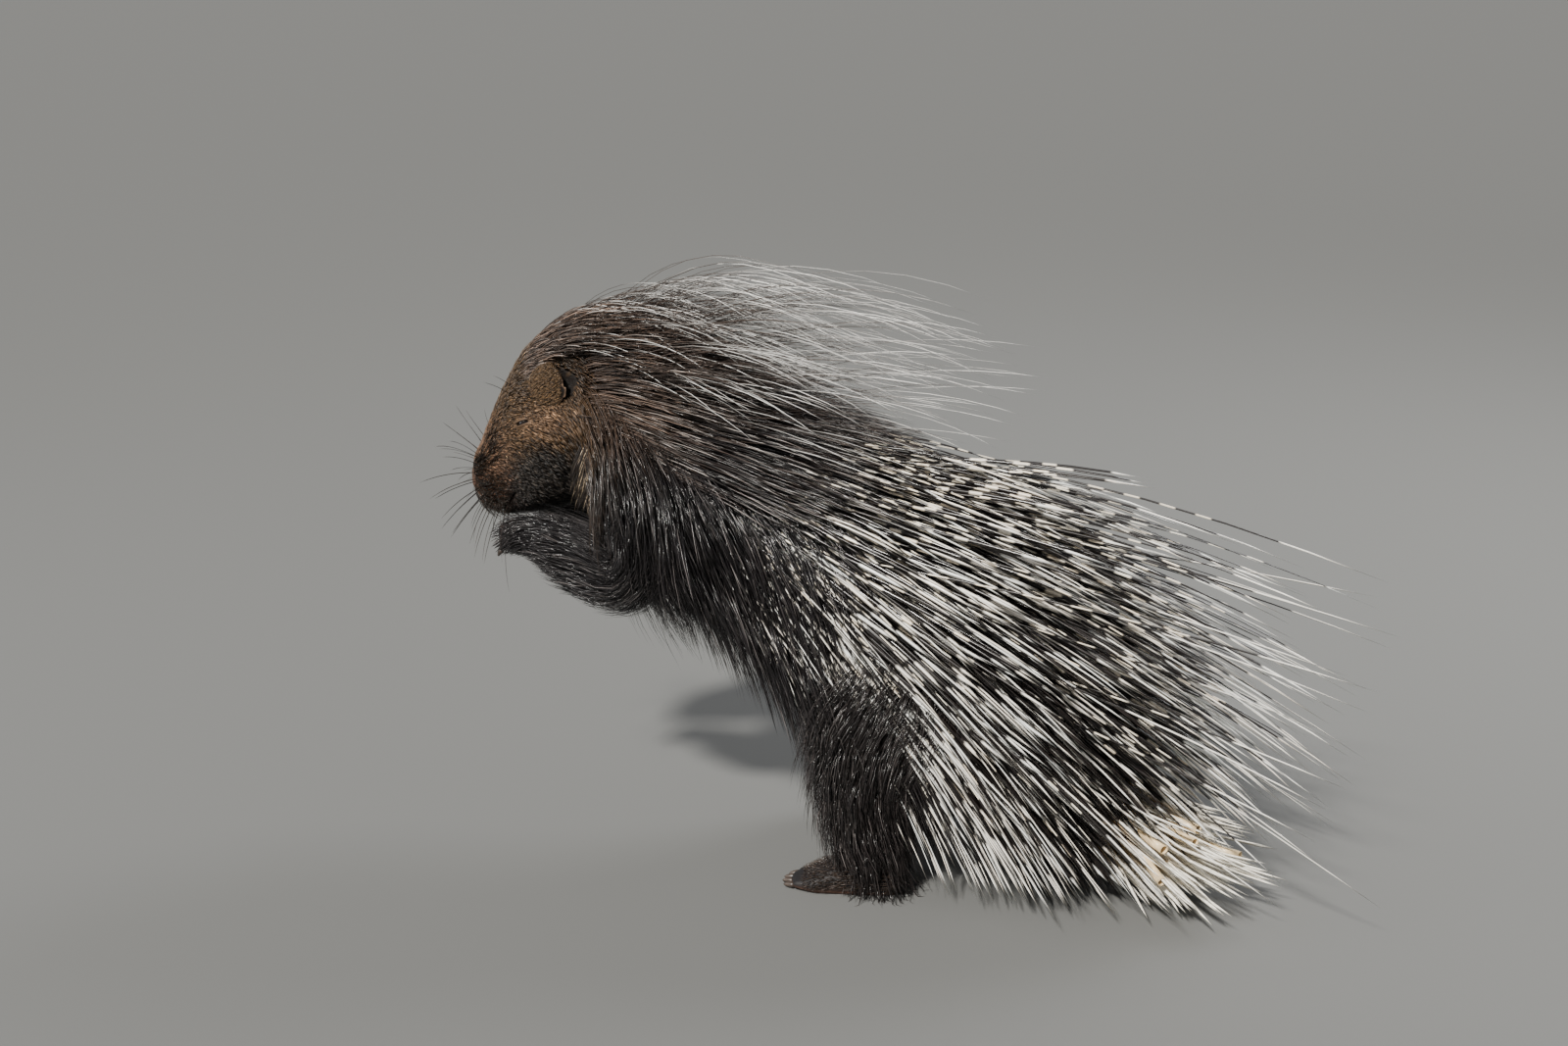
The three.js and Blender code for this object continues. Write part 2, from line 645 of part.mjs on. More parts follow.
function add(name, made, look) {
  const mesh = made.getMesh();
  const geometry = new THREE.BufferGeometry();
  geometry.setAttribute("position", new THREE.BufferAttribute(mesh.vertProperties, 3));
  geometry.setIndex(new THREE.BufferAttribute(mesh.triVerts, 1));
  geometry.computeVertexNormals();
  const node = new THREE.Mesh(geometry, new THREE.MeshStandardMaterial({ metalness: 0, ...look }));
  node.name = name;
  parts.add(node);
}

const FACE_FUR = { color: 0x6b4c33, roughness: 0.8 };
const CREST_LOOK = { color: 0x4a3d36, roughness: 0.5 };
const BLACK_COAT = { color: 0x1c191b, roughness: 0.4 };
const QUILL_LOOK = { color: 0xd9cfb8, roughness: 0.4 };
const WHITE_QUILL = { color: 0xeee6d0, roughness: 0.4 };
const BARE_SKIN = { color: 0x2a211e, roughness: 0.7 };
const EYE_LOOK = { color: 0x120d0b, roughness: 0.15 };

const SIDES = [["left", LEFT], ["right", RIGHT]];
const joint = GAP / 80; // the gap in stations of the trunk

// Plain forms that the others are cut clear of
const bodyAround = tube(trunk, HEAD_END, TORSO_END, { steps: 15, sides: TRUNK_SIDES, grow: GAP });
const legForm = (side) => oval(onSide(LEG, side));
const armForm = (side) => oval(onSide(ARM, side));
const mirrored = ([x, y, z], side) => [x, side * y, z];

const limbs = {};
for (const [word, side] of SIDES) {
  const leg = tube(legForm(side), 0, 1, { steps: 8 });
  const [shank, thigh] = parted(leg, mirrored(KNEE, side), [0, 0, 1], 300);
  const sole = join([
    tube(oval(onSide(FOOT, side)), 0, 1, { steps: 5, sides: 10 }),
    ...toes([-46, -97.5, 5], side, HIND_TOE, 0),
  ]);
  const legAround = tube(legForm(side), 0, 1, { steps: 8, grow: GAP });
  const arm = tube(armForm(side), 0, 1, { steps: 10, sides: 10 }).subtract(bodyAround);
  const [upper, lower] = parted(arm, mirrored(ELBOW, side), [-0.6, 0, -1], 200);
  const [forearm, hand] = parted(lower, mirrored(WRIST, side), [-1, 0, 0], 200);
  limbs[word] = {
    side, legAround,
    shank: largest(shank),
    thigh: largest(thigh),
    foot: largest(sole.subtract(UNDER_FLOOR).subtract(legAround)),
    upper: largest(upper),
    forearm: largest(forearm),
    paw: largest(join([hand, ...toes([-356, -56, 306], side, FORE_TOE, 22)])),
  };
}
const both = (pick) => [pick(limbs.left), pick(limbs.right)];

// Head with its face
let head = headForm();
const lipRoll = mouthWedge(4.5, 3).intersect(headForm(MOUTH.lip)).subtract(underSkin(4));
head = join([head, lipRoll]).subtract(mouthWedge(MOUTH.gap).subtract(underSkin(MOUTH.depth)));
for (const side of [LEFT, RIGHT]) {
  head = head.add(lids(side))
    .subtract(eyeball(side, GAP))
    .subtract(eyeSlit(side))
    .subtract(nostril(side))
    .subtract(earPit(side));
}
head = graft(largest(head), [
  ...whiskers(LEFT), ...whiskers(RIGHT), ...crest(7.1, 7.75, 2, 42, 23, 5),
], [bodyAround, ...both((limb) => limb.paw)]);
const headAround = headForm(GAP);
const ears = SIDES.map(([, side]) => largest(ear(side).subtract(headAround)));

// Plain lengths of the trunk
const neckForm = tube(trunk, HEAD_END + joint, NECK_END, { steps: 3, sides: TRUNK_SIDES });
const shoulderForm = tube(trunk, NECK_END + joint, SHOULDER_END, { steps: 4, sides: TRUNK_SIDES });
const torsoForm = tube(trunk, SHOULDER_END + joint, TORSO_END, { steps: 8, sides: TRUNK_SIDES })
  .subtract(limbs.left.legAround).subtract(limbs.right.legAround);

const tailStub = largest(join([
  tube(trunk, TORSO_END + joint, LAST, { steps: 2, sides: TRUNK_SIDES }),
  tube(tailForm, 0, 1, { steps: 4, sides: 10 }).subtract(bodyAround),
]));

// Shoulders, their flat locks swinging down towards the elbows
const shoulders = graft(
  shoulderForm,
  [
    ...crest(9.85, 11.1, 4, 44, 28, 9),
    ...locks(trunk, {
      rows: [9.85, 10.3, 10.72, 11.1], step: 32, from: 40, to: 172, length: 80, half: 13, depth: 4.5,
      rise: 10, turn: (round) => between([[40, 8], [90, 30], [150, 10], [180, 0]], round), seed: 11,
    }),
  ],
  [
    head, ...ears, neckForm, torsoForm,
    ...both((limb) => limb.upper), ...both((limb) => limb.forearm), ...both((limb) => limb.thigh),
  ],
);

// Torso with all its quills
const torso = graft(
  torsoForm,
  [...bodyQuills(), ...bellyFringe()],
  [
    shoulders, tailStub,
    ...both((limb) => limb.thigh), ...both((limb) => limb.shank), ...both((limb) => limb.foot), UNDER_FLOOR,
  ],
);

// Neck with the crest
const neck = graft(
  neckForm,
  [
    ...crest(8.25, 9.4, CREST_ROWS, 58, 24, 3),
    ...locks(trunk, {
      rows: [8.3, 8.85], step: 27, from: 62, to: 172, length: 62, half: 12, depth: 4, rise: 9,
      turn: (round) => between([[60, 10], [110, 34], [180, 0]], round), seed: 17,
    }),
  ],
  [head, ...ears, shoulders, torso, ...both((limb) => limb.upper), ...both((limb) => limb.forearm)],
);

// Tail
const tailRoll = dice(31);
const tailNeighbours = [torso, ...both((limb) => limb.foot), ...both((limb) => limb.shank), UNDER_FLOOR];
const tailQuills = Array.from({ length: TAIL_QUILLS }, (_, i) => tailQuill(i, tailRoll));
const tail = largest(join([
  graft(tailStub, tailQuills, tailNeighbours),
  ...Array.from({ length: RATTLE.count }, (_, i) => rattleQuill(i)),
]).subtract(UNDER_FLOOR));

add("head", head, FACE_FUR);
SIDES.forEach(([word, side], i) => {
  add(`eye_${word}`, eyeball(side), EYE_LOOK);
  add(`ear_${word}`, ears[i], FACE_FUR);
});
add("neck", neck, CREST_LOOK);
add("shoulders", shoulders, BLACK_COAT);
add("torso", torso, QUILL_LOOK);
add("tail", tail, WHITE_QUILL);
const bodyParts = [head, neck, shoulders, torso, tail];
for (const [word, side] of SIDES) {
  const limb = limbs[word];
  const legLocks = { step: 36, length: 60, half: 12, depth: 4, rise: 7, turn: 0 };
  const thighLocks = locks(legForm(side), { ...legLocks, rows: [0.34, 0.46], from: 40, to: 140, seed: 51 });
  const shankLocks = locks(legForm(side), { ...legLocks, rows: [0.6, 0.74], from: 0, to: 180, seed: 53 });
  const armLocks = { step: 29, length: 50, half: 10, depth: 3.6, rise: 6, turn: 0 };
  const upperLocks = locks(armForm(side), { ...armLocks, rows: [0.2, 0.3], from: 40, to: 140, seed: 57 });
  const foreLocks = locks(armForm(side), { ...armLocks, rows: [0.5, 0.64], from: 0, to: 180, seed: 59 });
  const thigh = graft(limb.thigh, thighLocks, [...bodyParts, limb.shank, limb.foot]);
  const shank = graft(limb.shank, shankLocks, [...bodyParts, thigh, limb.foot, UNDER_FLOOR]);
  const upper = graft(limb.upper, upperLocks, [...bodyParts, limb.forearm]);
  const forearm = graft(limb.forearm, foreLocks, [...bodyParts, upper, limb.paw]);
  add(`upper_arm_${word}`, upper, BLACK_COAT);
  add(`forearm_${word}`, forearm, BLACK_COAT);
  add(`paw_${word}`, limb.paw, BARE_SKIN);
  add(`thigh_${word}`, thigh, BLACK_COAT);
  add(`shank_${word}`, shank, BLACK_COAT);
  add(`foot_${word}`, limb.foot, BARE_SKIN);
}

parts.position.set(-MIDDLE[0], -MIDDLE[1], 0);
export default parts;
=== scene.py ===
# %% [markdown]
# # A crested porcupine, reared up on its hind feet
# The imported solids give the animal's sizes, in metres, with +Z up and the head towards -X. They
# stay in the physics. Here the animal gets its looks: one skin over all the flesh, and on it every
# bristle, hair and quill as thin solid mesh, because hair particles don't leave Blender.

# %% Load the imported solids
import math

import bpy
import numpy as np
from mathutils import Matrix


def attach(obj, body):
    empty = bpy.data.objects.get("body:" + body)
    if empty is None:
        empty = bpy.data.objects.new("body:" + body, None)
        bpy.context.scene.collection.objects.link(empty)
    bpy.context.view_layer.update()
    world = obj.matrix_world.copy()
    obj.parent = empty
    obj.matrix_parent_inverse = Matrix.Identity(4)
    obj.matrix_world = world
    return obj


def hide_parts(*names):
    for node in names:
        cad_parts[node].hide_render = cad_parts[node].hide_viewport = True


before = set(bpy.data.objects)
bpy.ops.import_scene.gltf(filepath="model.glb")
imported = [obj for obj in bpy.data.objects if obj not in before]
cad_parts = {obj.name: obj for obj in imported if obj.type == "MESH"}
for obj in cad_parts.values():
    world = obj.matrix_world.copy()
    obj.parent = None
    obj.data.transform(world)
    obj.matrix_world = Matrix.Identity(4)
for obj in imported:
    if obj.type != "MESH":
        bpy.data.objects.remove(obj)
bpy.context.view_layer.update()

# %% [markdown]
# ## Camera, floor and light
# The camera is set for the picture to match: a little above the animal, looking down on its side.
# The floor is plain and mid grey, so that both the black hair and the white quill tips stand out
# from it. One sun lamp gives the crisp highlights that coarse glossy hair needs to be read, and two
# large soft lamps and a pale sky keep the shadows open.

# %% Camera
CAMERA_PLACE = (0.3624, -1.9797, 0.9)
CAMERA_TURN = 13.0
CAMERA_DROP = 15.65
LENS = 50.0


def add_camera():
    bpy.ops.object.camera_add(
        location=CAMERA_PLACE,
        rotation=(math.radians(90 - CAMERA_DROP), 0, math.radians(CAMERA_TURN)),
    )
    camera = bpy.context.object
    camera.data.lens = LENS
    camera.data.sensor_width = 36.0
    bpy.context.scene.camera = camera
    return camera


camera = add_camera()
print("camera at", tuple(camera.location))

# %% Floor and lamps
FLOOR_SIZE = 120.0
FLOOR_GREY = (0.12, 0.122, 0.118)
SUN = {  # degrees above level and to the left of the camera, power, and softness in degrees
    "rise": 44.0, "swing": 28.0, "strength": 7.6, "softness": 5.0, "colour": (1.0, 0.965, 0.91),
}
SKY_COLOUR, SKY_STRENGTH = (0.93, 0.95, 1.0, 1), 0.33
LAMPS = {  # place, size and power of each soft lamp, all aimed at the shoulders
    "fill": ((-2.4, -0.6, 1.0), 1.8, 20.0),
    "rim": ((1.5, 1.7, 2.2), 1.2, 60.0),
}
AIM = (0.0, 0.0, 0.3)


def plain_material(name, colour, roughness):
    """A material of one colour on the shader's own sockets."""
    material = bpy.data.materials.new(name)
    material.use_nodes = True
    shader = material.node_tree.nodes["Principled BSDF"]
    shader.inputs["Base Color"].default_value = (*colour, 1)
    shader.inputs["Roughness"].default_value = roughness
    return material


def add_lamp(name, place, size, power):
    bpy.ops.object.light_add(type="AREA", location=place)
    lamp = bpy.context.object
    lamp.name = name
    lamp.data.shape = "DISK"
    lamp.data.size = size
    lamp.data.energy = power
    aim = np.array(AIM) - np.array(place)
    lamp.rotation_euler = (
        math.atan2(math.hypot(aim[0], aim[1]), -aim[2]),
        0,
        math.atan2(aim[1], aim[0]) - math.pi / 2,
    )


bpy.ops.mesh.primitive_plane_add(size=FLOOR_SIZE, location=(0, 0, 0))
floor = bpy.context.object
floor.name = "floor"
floor.data.materials.append(plain_material("grey_floor", FLOOR_GREY, 0.75))
bpy.ops.object.light_add(
    type="SUN", location=(0, -2, 3),
    rotation=(math.radians(90 - SUN["rise"]), 0, math.radians(CAMERA_TURN - SUN["swing"])),
)
bpy.context.object.data.energy = SUN["strength"]
bpy.context.object.data.color = SUN["colour"]
bpy.context.object.data.angle = math.radians(SUN["softness"])
for lamp_name, (place, size, power) in LAMPS.items():
    add_lamp(lamp_name, place, size, power)
world = bpy.data.worlds.new("soft_room")
world.use_nodes = True
world.node_tree.nodes["Background"].inputs["Color"].default_value = SKY_COLOUR
world.node_tree.nodes["Background"].inputs["Strength"].default_value = SKY_STRENGTH
bpy.context.scene.world = world
print("lamps:", len(LAMPS) + 1)

# %% [markdown]
# ## The form under the coat
# An animal this furry has no outline of its own: the coat makes it. So the body is kept as a few
# smooth forms, functions that give a point of the surface for a station along it and an angle
# round it. The skin is drawn over them, and each hair asks them where its root is and which way
# is back, down and out.

# %% Sizes of the forms
MM = 0.001
MIDDLE = MM * np.array([3.0, 1.0, 0.0])  # from the left hind ankle to the model's origin
HEAD_TURN = 13.0  # degrees to the animal's left
NECK_X = MM * -288
NECK_Z = MM * 431

# Back line x and z, belly line x and z, half width, pear shape (how much fuller below), turn
SECTIONS = np.array([
    (-401.5, 374, -401, 366, 3, 0, HEAD_TURN),
    (-400, 388, -399, 350, 15, 0, HEAD_TURN),
    (-394, 400, -391, 338, 22, 0, HEAD_TURN),
    (-387, 417, -378, 331, 27, 0.05, HEAD_TURN),
    (-378, 438, -362, 330, 33, 0.1, HEAD_TURN),
    (-365, 464, -344, 333, 41, 0.16, HEAD_TURN),
    (-347, 492, -322, 338, 49, 0.2, HEAD_TURN),
    (-322, 510, -302, 345, 55, 0.2, 11),
    (-290, 510, -287, 350, 61, 0.16, 8),
    (-254, 498, -276, 338, 71, 0.12, 4),
    (-204, 473, -256, 316, 84, 0.08, 0),
    (-129, 443, -200, 270, 96, 0.05, 0),
    (-34, 410, -112, 208, 107, 0.05, 0),
    (62, 346, -28, 130, 116, 0.08, 0),
    (154, 254, 64, 64, 108, 0.08, 0),
    (208, 158, 142, 40, 72, 0, 0),
    (230, 112, 190, 42, 42, 0, 0),
])
LAST = len(SECTIONS) - 1

# Centre, half width and half depth of each station of a limb, for the left side
ARM = MM * np.array([
    (-196, -50, 385, 40, 46), (-206, -70, 340, 34, 42), (-214, -80, 304, 27, 32),
    (-236, -80, 290, 24, 30), (-285, -70, 307, 21, 29), (-328, -61, 322, 18, 21),
    (-346, -58, 320, 19, 19), (-358, -56, 314, 18, 15),
])
LEG = MM * np.array([
    (80, -60, 250, 36, 50), (50, -76, 200, 42, 78), (20, -89, 150, 40, 68), (8, -93, 100, 33, 48),
    (12, -95, 60, 29, 38), (18, -95, 34, 25, 32), (20, -95, 18, 20, 25),
])
FOOT = MM * np.array([
    (50, -95, 12, 12, 10), (38, -95, 14, 19, 19), (0, -96, 12, 21, 21), (-34, -97, 8, 25, 14),
    (-46, -98, 6, 22, 9),
])
TAIL = MM * np.array([
    (206, -2, 82, 34, 34), (228, -9, 68, 30, 30), (250, -21, 56, 25, 24), (268, -33, 47, 17, 16),
    (276, -38, 43, 7, 7),
])
print("stations of trunk, arm, leg, foot, tail:", *map(len, (SECTIONS, ARM, LEG, FOOT, TAIL)))


# %% A smooth line through knots
def spline(knots, at, even=False):
    """Smooth line through the knots, where at counts knots from 0. Even ignores their spacing."""
    knots = np.asarray(knots, float)
    at = np.clip(np.asarray(at, float), 0, len(knots) - 1)
    first = np.minimum(at.astype(int), len(knots) - 2)
    w = (at - first)[..., None]
    padded = np.vstack([2 * knots[0] - knots[1], knots, 2 * knots[-1] - knots[-2]])
    p0, p1, p2, p3 = (padded[first + k] for k in range(4))
    if even:
        t1, t2 = (p2 - p0) / 2, (p3 - p1) / 2
    else:
        d0, d1, d2 = (
            np.sqrt(np.linalg.norm(b - a, axis=-1, keepdims=True))
            for a, b in ((p0, p1), (p1, p2), (p2, p3))
        )
        t1 = d1 * ((p1 - p0) / d0 - (p2 - p0) / (d0 + d1) + (p2 - p1) / d1)
        t2 = d1 * ((p2 - p1) / d1 - (p3 - p1) / (d1 + d2) + (p3 - p2) / d2)
    return p1 + w * t1 + w**2 * (3 * (p2 - p1) - 2 * t1 - t2) + w**3 * (2 * (p1 - p2) + t1 + t2)


print("middle of the back line, in mm:", spline(SECTIONS[:, :2], [LAST / 2]).round(1))


# %% The form of head and body
def trunk(station, around, grow=0.0):
    """Point of head and body. Around is 0 on the back, 90 on the left flank, -90 on the right."""
    station, around, grow = np.broadcast_arrays(station, around, grow)
    back = MM * spline(SECTIONS[:, 0:2], station)
    belly = MM * spline(SECTIONS[:, 2:4], station)
    girth = spline(SECTIONS[:, 4:6], station, even=True)
    centre = (back + belly) / 2
    half = (back - belly) / 2
    length = np.linalg.norm(half, axis=-1)
    half = half * ((length + grow) / length)[..., None]
    angle = np.radians(around)
    lift = np.cos(angle)
    y = -np.sin(angle) * (MM * girth[..., 0] + grow) * (1 - girth[..., 1] * lift)
    x = centre[..., 0] + half[..., 0] * lift - NECK_X
    z = centre[..., 1] + half[..., 1] * lift
    turn = np.radians(np.interp(station, np.arange(LAST + 1), SECTIONS[:, 6]))
    places = np.stack([
        x * np.cos(turn) - y * np.sin(turn) + NECK_X,
        x * np.sin(turn) + y * np.cos(turn),
        z,
    ], axis=-1)
    return places - MIDDLE


print("tip of the nose, in m:", trunk(0.0, 0.0).round(3))


# %% The forms of limbs and tail
def oval(stations):
    """A limb's form: its own station runs from 0 to 1."""
    def form(station, around, grow=0.0):
        station, around, grow = np.broadcast_arrays(station, around, grow)
        step = 1e-3
        last = len(stations) - 1
        at = np.clip(station * last, step, last - step)
        slope = (spline(stations[:, :3], at + step) - spline(stations[:, :3], at - step)) / (2 * step)
        ahead = slope / np.linalg.norm(slope, axis=-1, keepdims=True)
        top = np.cross(ahead, (0.0, 1.0, 0.0))
        top /= np.linalg.norm(top, axis=-1, keepdims=True)
        flat = np.cross(ahead, top)
        size = spline(stations[:, 3:], at, even=True)
        angle = np.radians(around)
        return (
            spline(stations[:, :3], at)
            + slope * (station * last - at)[..., None]
            + top * (np.cos(angle) * (size[..., 1] + grow))[..., None]
            + flat * (np.sin(angle) * (size[..., 0] + grow))[..., None]
            - MIDDLE
        )
    return form


def on_side(stations, side):
    """The stations of the left limb, or their mirror image for the right one."""
    mirrored = stations.copy()
    mirrored[:, 1] *= side
    return mirrored


LEFT, RIGHT = 1, -1
SIDES = (("left", LEFT), ("right", RIGHT))
FORMS = {"trunk": trunk, "tail": oval(TAIL)}
for word, side in SIDES:
    FORMS["arm_" + word] = oval(on_side(ARM, side))
    FORMS["leg_" + word] = oval(on_side(LEG, side))
    FORMS["foot_" + word] = oval(on_side(FOOT, side))
print("forms:", ", ".join(FORMS))


# %% Frames of reference on a form
def unit(vectors):
    return vectors / np.linalg.norm(vectors, axis=-1, keepdims=True)


def spots(form, station, around):
    """Place, backward, sideways and outward directions, and lengths of a station and a degree."""
    step, turn = 0.02, 1.0
    back = form(station + step, around) - form(station - step, around)
    side = form(station, around + turn) - form(station, around - turn)
    return {
        "at": form(station, around),
        "back": unit(back),
        "side": unit(side),
        "out": unit(np.cross(side, back)),
        "per_station": np.linalg.norm(back, axis=-1) / (2 * step),
        "per_degree": np.linalg.norm(side, axis=-1) / (2 * turn),
    }


def heading(rise, turn):
    """Unit vectors from degrees above level and degrees to the left of straight back."""
    rise, turn = np.radians(rise), np.radians(turn)
    rise, turn = np.broadcast_arrays(rise, turn)
    return np.stack([np.cos(rise) * np.cos(turn), -np.cos(rise) * np.sin(turn), np.sin(rise)], -1)


def along(places, values):
    """A value read between listed ones."""
    return lambda at: np.interp(at, places, values)


def bell(distance, width):
    """1 at no distance, falling smoothly to nothing at about twice the width."""
    return np.exp(-((distance / width) ** 2))


def step_up(values, low, high):
    """0 below low, 1 above high, and smooth between them."""
    t = np.clip((values - low) / (high - low), 0, 1)
    return t * t * (3 - 2 * t)


girth = spots(trunk, np.full(36, 9.0), np.arange(0, 360, 10.0))["per_degree"].mean() * 360
print("round the chest:", round(float(girth), 2), "m")


# %% [markdown]
# ## The skin
# One closed skin stands for all the flesh, so that no seam shows between head, body and limbs.
# Each form is drawn from a sphere whose rings become its sections. The forms are joined, melted
# together by a voxel remesh and smoothed, as clay pieces are pressed into one. It lies under the
# solids by the depth of the coat.

# %% Pieces drawn from a form
COAT_DEPTH = along([0, 3, 7, 8.5, 10, 16], [-0.0008, -0.0015, -0.002, -0.006, -0.008, -0.008])
print("depth of the skin at nose and flank, in m:", COAT_DEPTH(0), COAT_DEPTH(12))


def places_of(piece):
    flat = np.empty(len(piece.data.vertices) * 3)
    piece.data.vertices.foreach_get("co", flat)
    return flat.reshape(-1, 3)


def move_to(piece, places):
    piece.data.vertices.foreach_set("co", places.ravel())
    piece.data.update()


def form_sphere(name, form, stations, sides, rings, depth):
    """A sphere whose rings are moved onto the sections of a form."""
    bpy.ops.mesh.primitive_uv_sphere_add(segments=sides, ring_count=rings, radius=1)
    piece = bpy.context.object
    piece.name = name
    places = np.array([v.co for v in piece.data.vertices])
    share = np.arccos(np.clip(places[:, 2], -1, 1)) / math.pi
    around = np.degrees(np.arctan2(places[:, 1], places[:, 0]))
    station = stations[0] + (stations[1] - stations[0]) * share
    moved = form(station, around, depth(station) if callable(depth) else depth)
    rim = np.abs(places[:, 2]) > 0.9999
    for pole in np.nonzero(rim)[0]:
        moved[pole] = form(np.full(8, station[pole]), np.arange(0, 360, 45.0), -0.004).mean(axis=0)
    move_to(piece, moved)
    return piece


# %% Helpers that join and change pieces
def select_only(*pieces):
    """Selects these pieces and no others, and makes the first one active."""
    bpy.ops.object.select_all(action="DESELECT")
    for piece in pieces:
        piece.select_set(True)
    bpy.context.view_layer.objects.active = pieces[0]


def join(pieces, name):
    select_only(*pieces)
    bpy.ops.object.join()
    pieces[0].name = name
    return pieces[0]


def apply_modifier(piece, kind, **settings):
    select_only(piece)
    modifier = piece.modifiers.new(kind.lower(), kind)
    for setting, value in settings.items():
        setattr(modifier, setting, value)
    bpy.ops.object.modifier_apply(modifier=modifier.name)


# %% Toes
TOES = (  # first toe's root, count, gap, fan, length, radius and droop, for hind feet and forepaws
    ((-42 * MM, -97.5 * MM, 6.2 * MM), 4, 12 * MM, 8, 22 * MM, 6.2 * MM, 0),
    ((-353 * MM, -56 * MM, 315 * MM), 4, 8.8 * MM, 6, 14 * MM, 5.6 * MM, 52),
)


def toe_forms(side, origin, count, spread, fan, length, radius, droop):
    """Toes as short ovals that fan out from the front of a foot, and where each claw starts."""
    toes, claws = [], []
    for i in range(count):
        off = i - (count - 1) / 2
        place = np.array([origin[0] + abs(off) * 2.4 * MM, side * (origin[1] + off * spread), origin[2]])
        ahead = heading(-droop, 180 - side * off * fan)
        shares, sizes = (-0.5, 0.3, 0.75, 1.0), (1.0, 1.06, 0.92, 0.5)
        toes.append(np.array([
            (*(place + ahead * share * length), size * radius, size * radius)
            for share, size in zip(shares, sizes)
        ]))
        claws.append((place + ahead * length * 0.82 - MIDDLE, ahead))
    return toes, claws


print("toes of a hind foot and a forepaw:", *[row[1] for row in TOES])

# %% Draw the forms and melt them into one skin
SKIN_VOXEL = 0.0042
pieces = [form_sphere("trunk", trunk, (0, LAST), 40, 90, COAT_DEPTH)]
claw_roots = []
for word, side in SIDES:
    pieces.append(form_sphere("arm_" + word, FORMS["arm_" + word], (0, 1), 20, 30, -0.003))
    pieces.append(form_sphere("leg_" + word, FORMS["leg_" + word], (0, 1), 24, 26, -0.004))
    pieces.append(form_sphere("foot_" + word, FORMS["foot_" + word], (0, 1), 20, 16, -0.0004))
    for row in TOES:
        toes, claws = toe_forms(side, *row)
        claw_roots += claws
        for i, toe in enumerate(toes):
            pieces.append(form_sphere(f"toe_{word}_{i}", oval(toe), (0, 1), 12, 10, -0.0003))
pieces.append(form_sphere("tail", FORMS["tail"], (0, 1), 20, 14, -0.002))
skin = join(pieces, "skin")
apply_modifier(skin, "REMESH", mode="VOXEL", voxel_size=SKIN_VOXEL)
apply_modifier(skin, "SMOOTH", factor=0.5, iterations=6)
skin_places = places_of(skin)
skin_places[:, 2] = np.maximum(skin_places[:, 2], 0)
move_to(skin, skin_places)
print("skin:", len(skin.data.vertices), "vertices")

# %% [markdown]
# ## The face
# The skin's mesh is too coarse for lids and lips, so only the face is subdivided, more finely
# towards the eyes, the mouth and the nostrils. There the vertices are pushed out and in by smooth
# hills and grooves: domed lids round a narrow slit, two lips along the mouth's gap, the slits of
# the nostrils and the hollow behind each ear.

# %% Places on the face
EYE = {"s": -60, "z": -1.5, "radius": 7, "slit": 7.8, "lift": 24}
EAR = {
    "s": -30, "z": 35, "radii": (23, 13, 22), "wall": 1.5, "set": 2.5, "flare": 11, "cut": 18, "hollow": 5,
}
MOUTH = ((-92, -113), (-84, -94), (-70, -73))
NOSTRIL = ((-110, -54), (-107, -74))
FACE_GRID = np.meshgrid(np.linspace(0, 9, 361), np.linspace(0, 180, 361), indexing="ij")


def to_face(places):
    """Millimetres backwards, to the left and upwards from the neck's pivot, in the head's plane."""
    away = places + MIDDLE - (NECK_X, 0, NECK_Z)
    turn = math.radians(HEAD_TURN)
    back = away[..., 0] * math.cos(turn) + away[..., 1] * math.sin(turn)
    right = -away[..., 0] * math.sin(turn) + away[..., 1] * math.cos(turn)
    return np.stack([back, -right, away[..., 2]], -1) / MM


def face_spot(s, z, side):
    """Station and angle of the head's form at a place of its side view."""
    stations, arounds = FACE_GRID
    seen = to_face(trunk(stations, arounds * side))
    nearest = np.argmin((seen[..., 0] - s) ** 2 + (seen[..., 2] - z) ** 2)
    return stations.ravel()[nearest], side * arounds.ravel()[nearest]


def line_distance(points, line):
    """Distance of points from a bent line, and how far along it the nearest place is, 0 to 1."""
    best = np.full(len(points), np.inf)
    share = np.zeros(len(points))
    for i in range(len(line) - 1):
        a, b = np.array(line[i], float), np.array(line[i + 1], float)
        t = np.clip((points - a) @ (b - a) / np.dot(b - a, b - a), 0, 1)
        d = np.linalg.norm(points - a - t[:, None] * (b - a), axis=1)
        closer = d < best
        best[closer] = d[closer]
        share[closer] = (i + t[closer]) / (len(line) - 1)
    return best, share


print("station and angle of the left eye:", face_spot(EYE["s"], EYE["z"], LEFT))


# %% Finer mesh where the face needs it
def nothing_selected(kind):
    """Clears the active mesh's selection, ready to pick faces or vertices in code."""
    bpy.ops.object.mode_set(mode="EDIT")
    bpy.ops.mesh.select_mode(type=kind)
    bpy.ops.mesh.select_all(action="DESELECT")
    bpy.ops.object.mode_set(mode="OBJECT")


def subdivide_where(piece, wanted):
    """Halves the faces whose centres are wanted."""
    centres = np.empty(len(piece.data.polygons) * 3)
    piece.data.polygons.foreach_get("center", centres)
    select_only(piece)
    nothing_selected("FACE")
    piece.data.polygons.foreach_set("select", wanted(centres.reshape(-1, 3)))
    bpy.ops.object.mode_set(mode="EDIT")
    bpy.ops.mesh.subdivide(number_cuts=1, smoothness=0.6)
    bpy.ops.object.mode_set(mode="OBJECT")


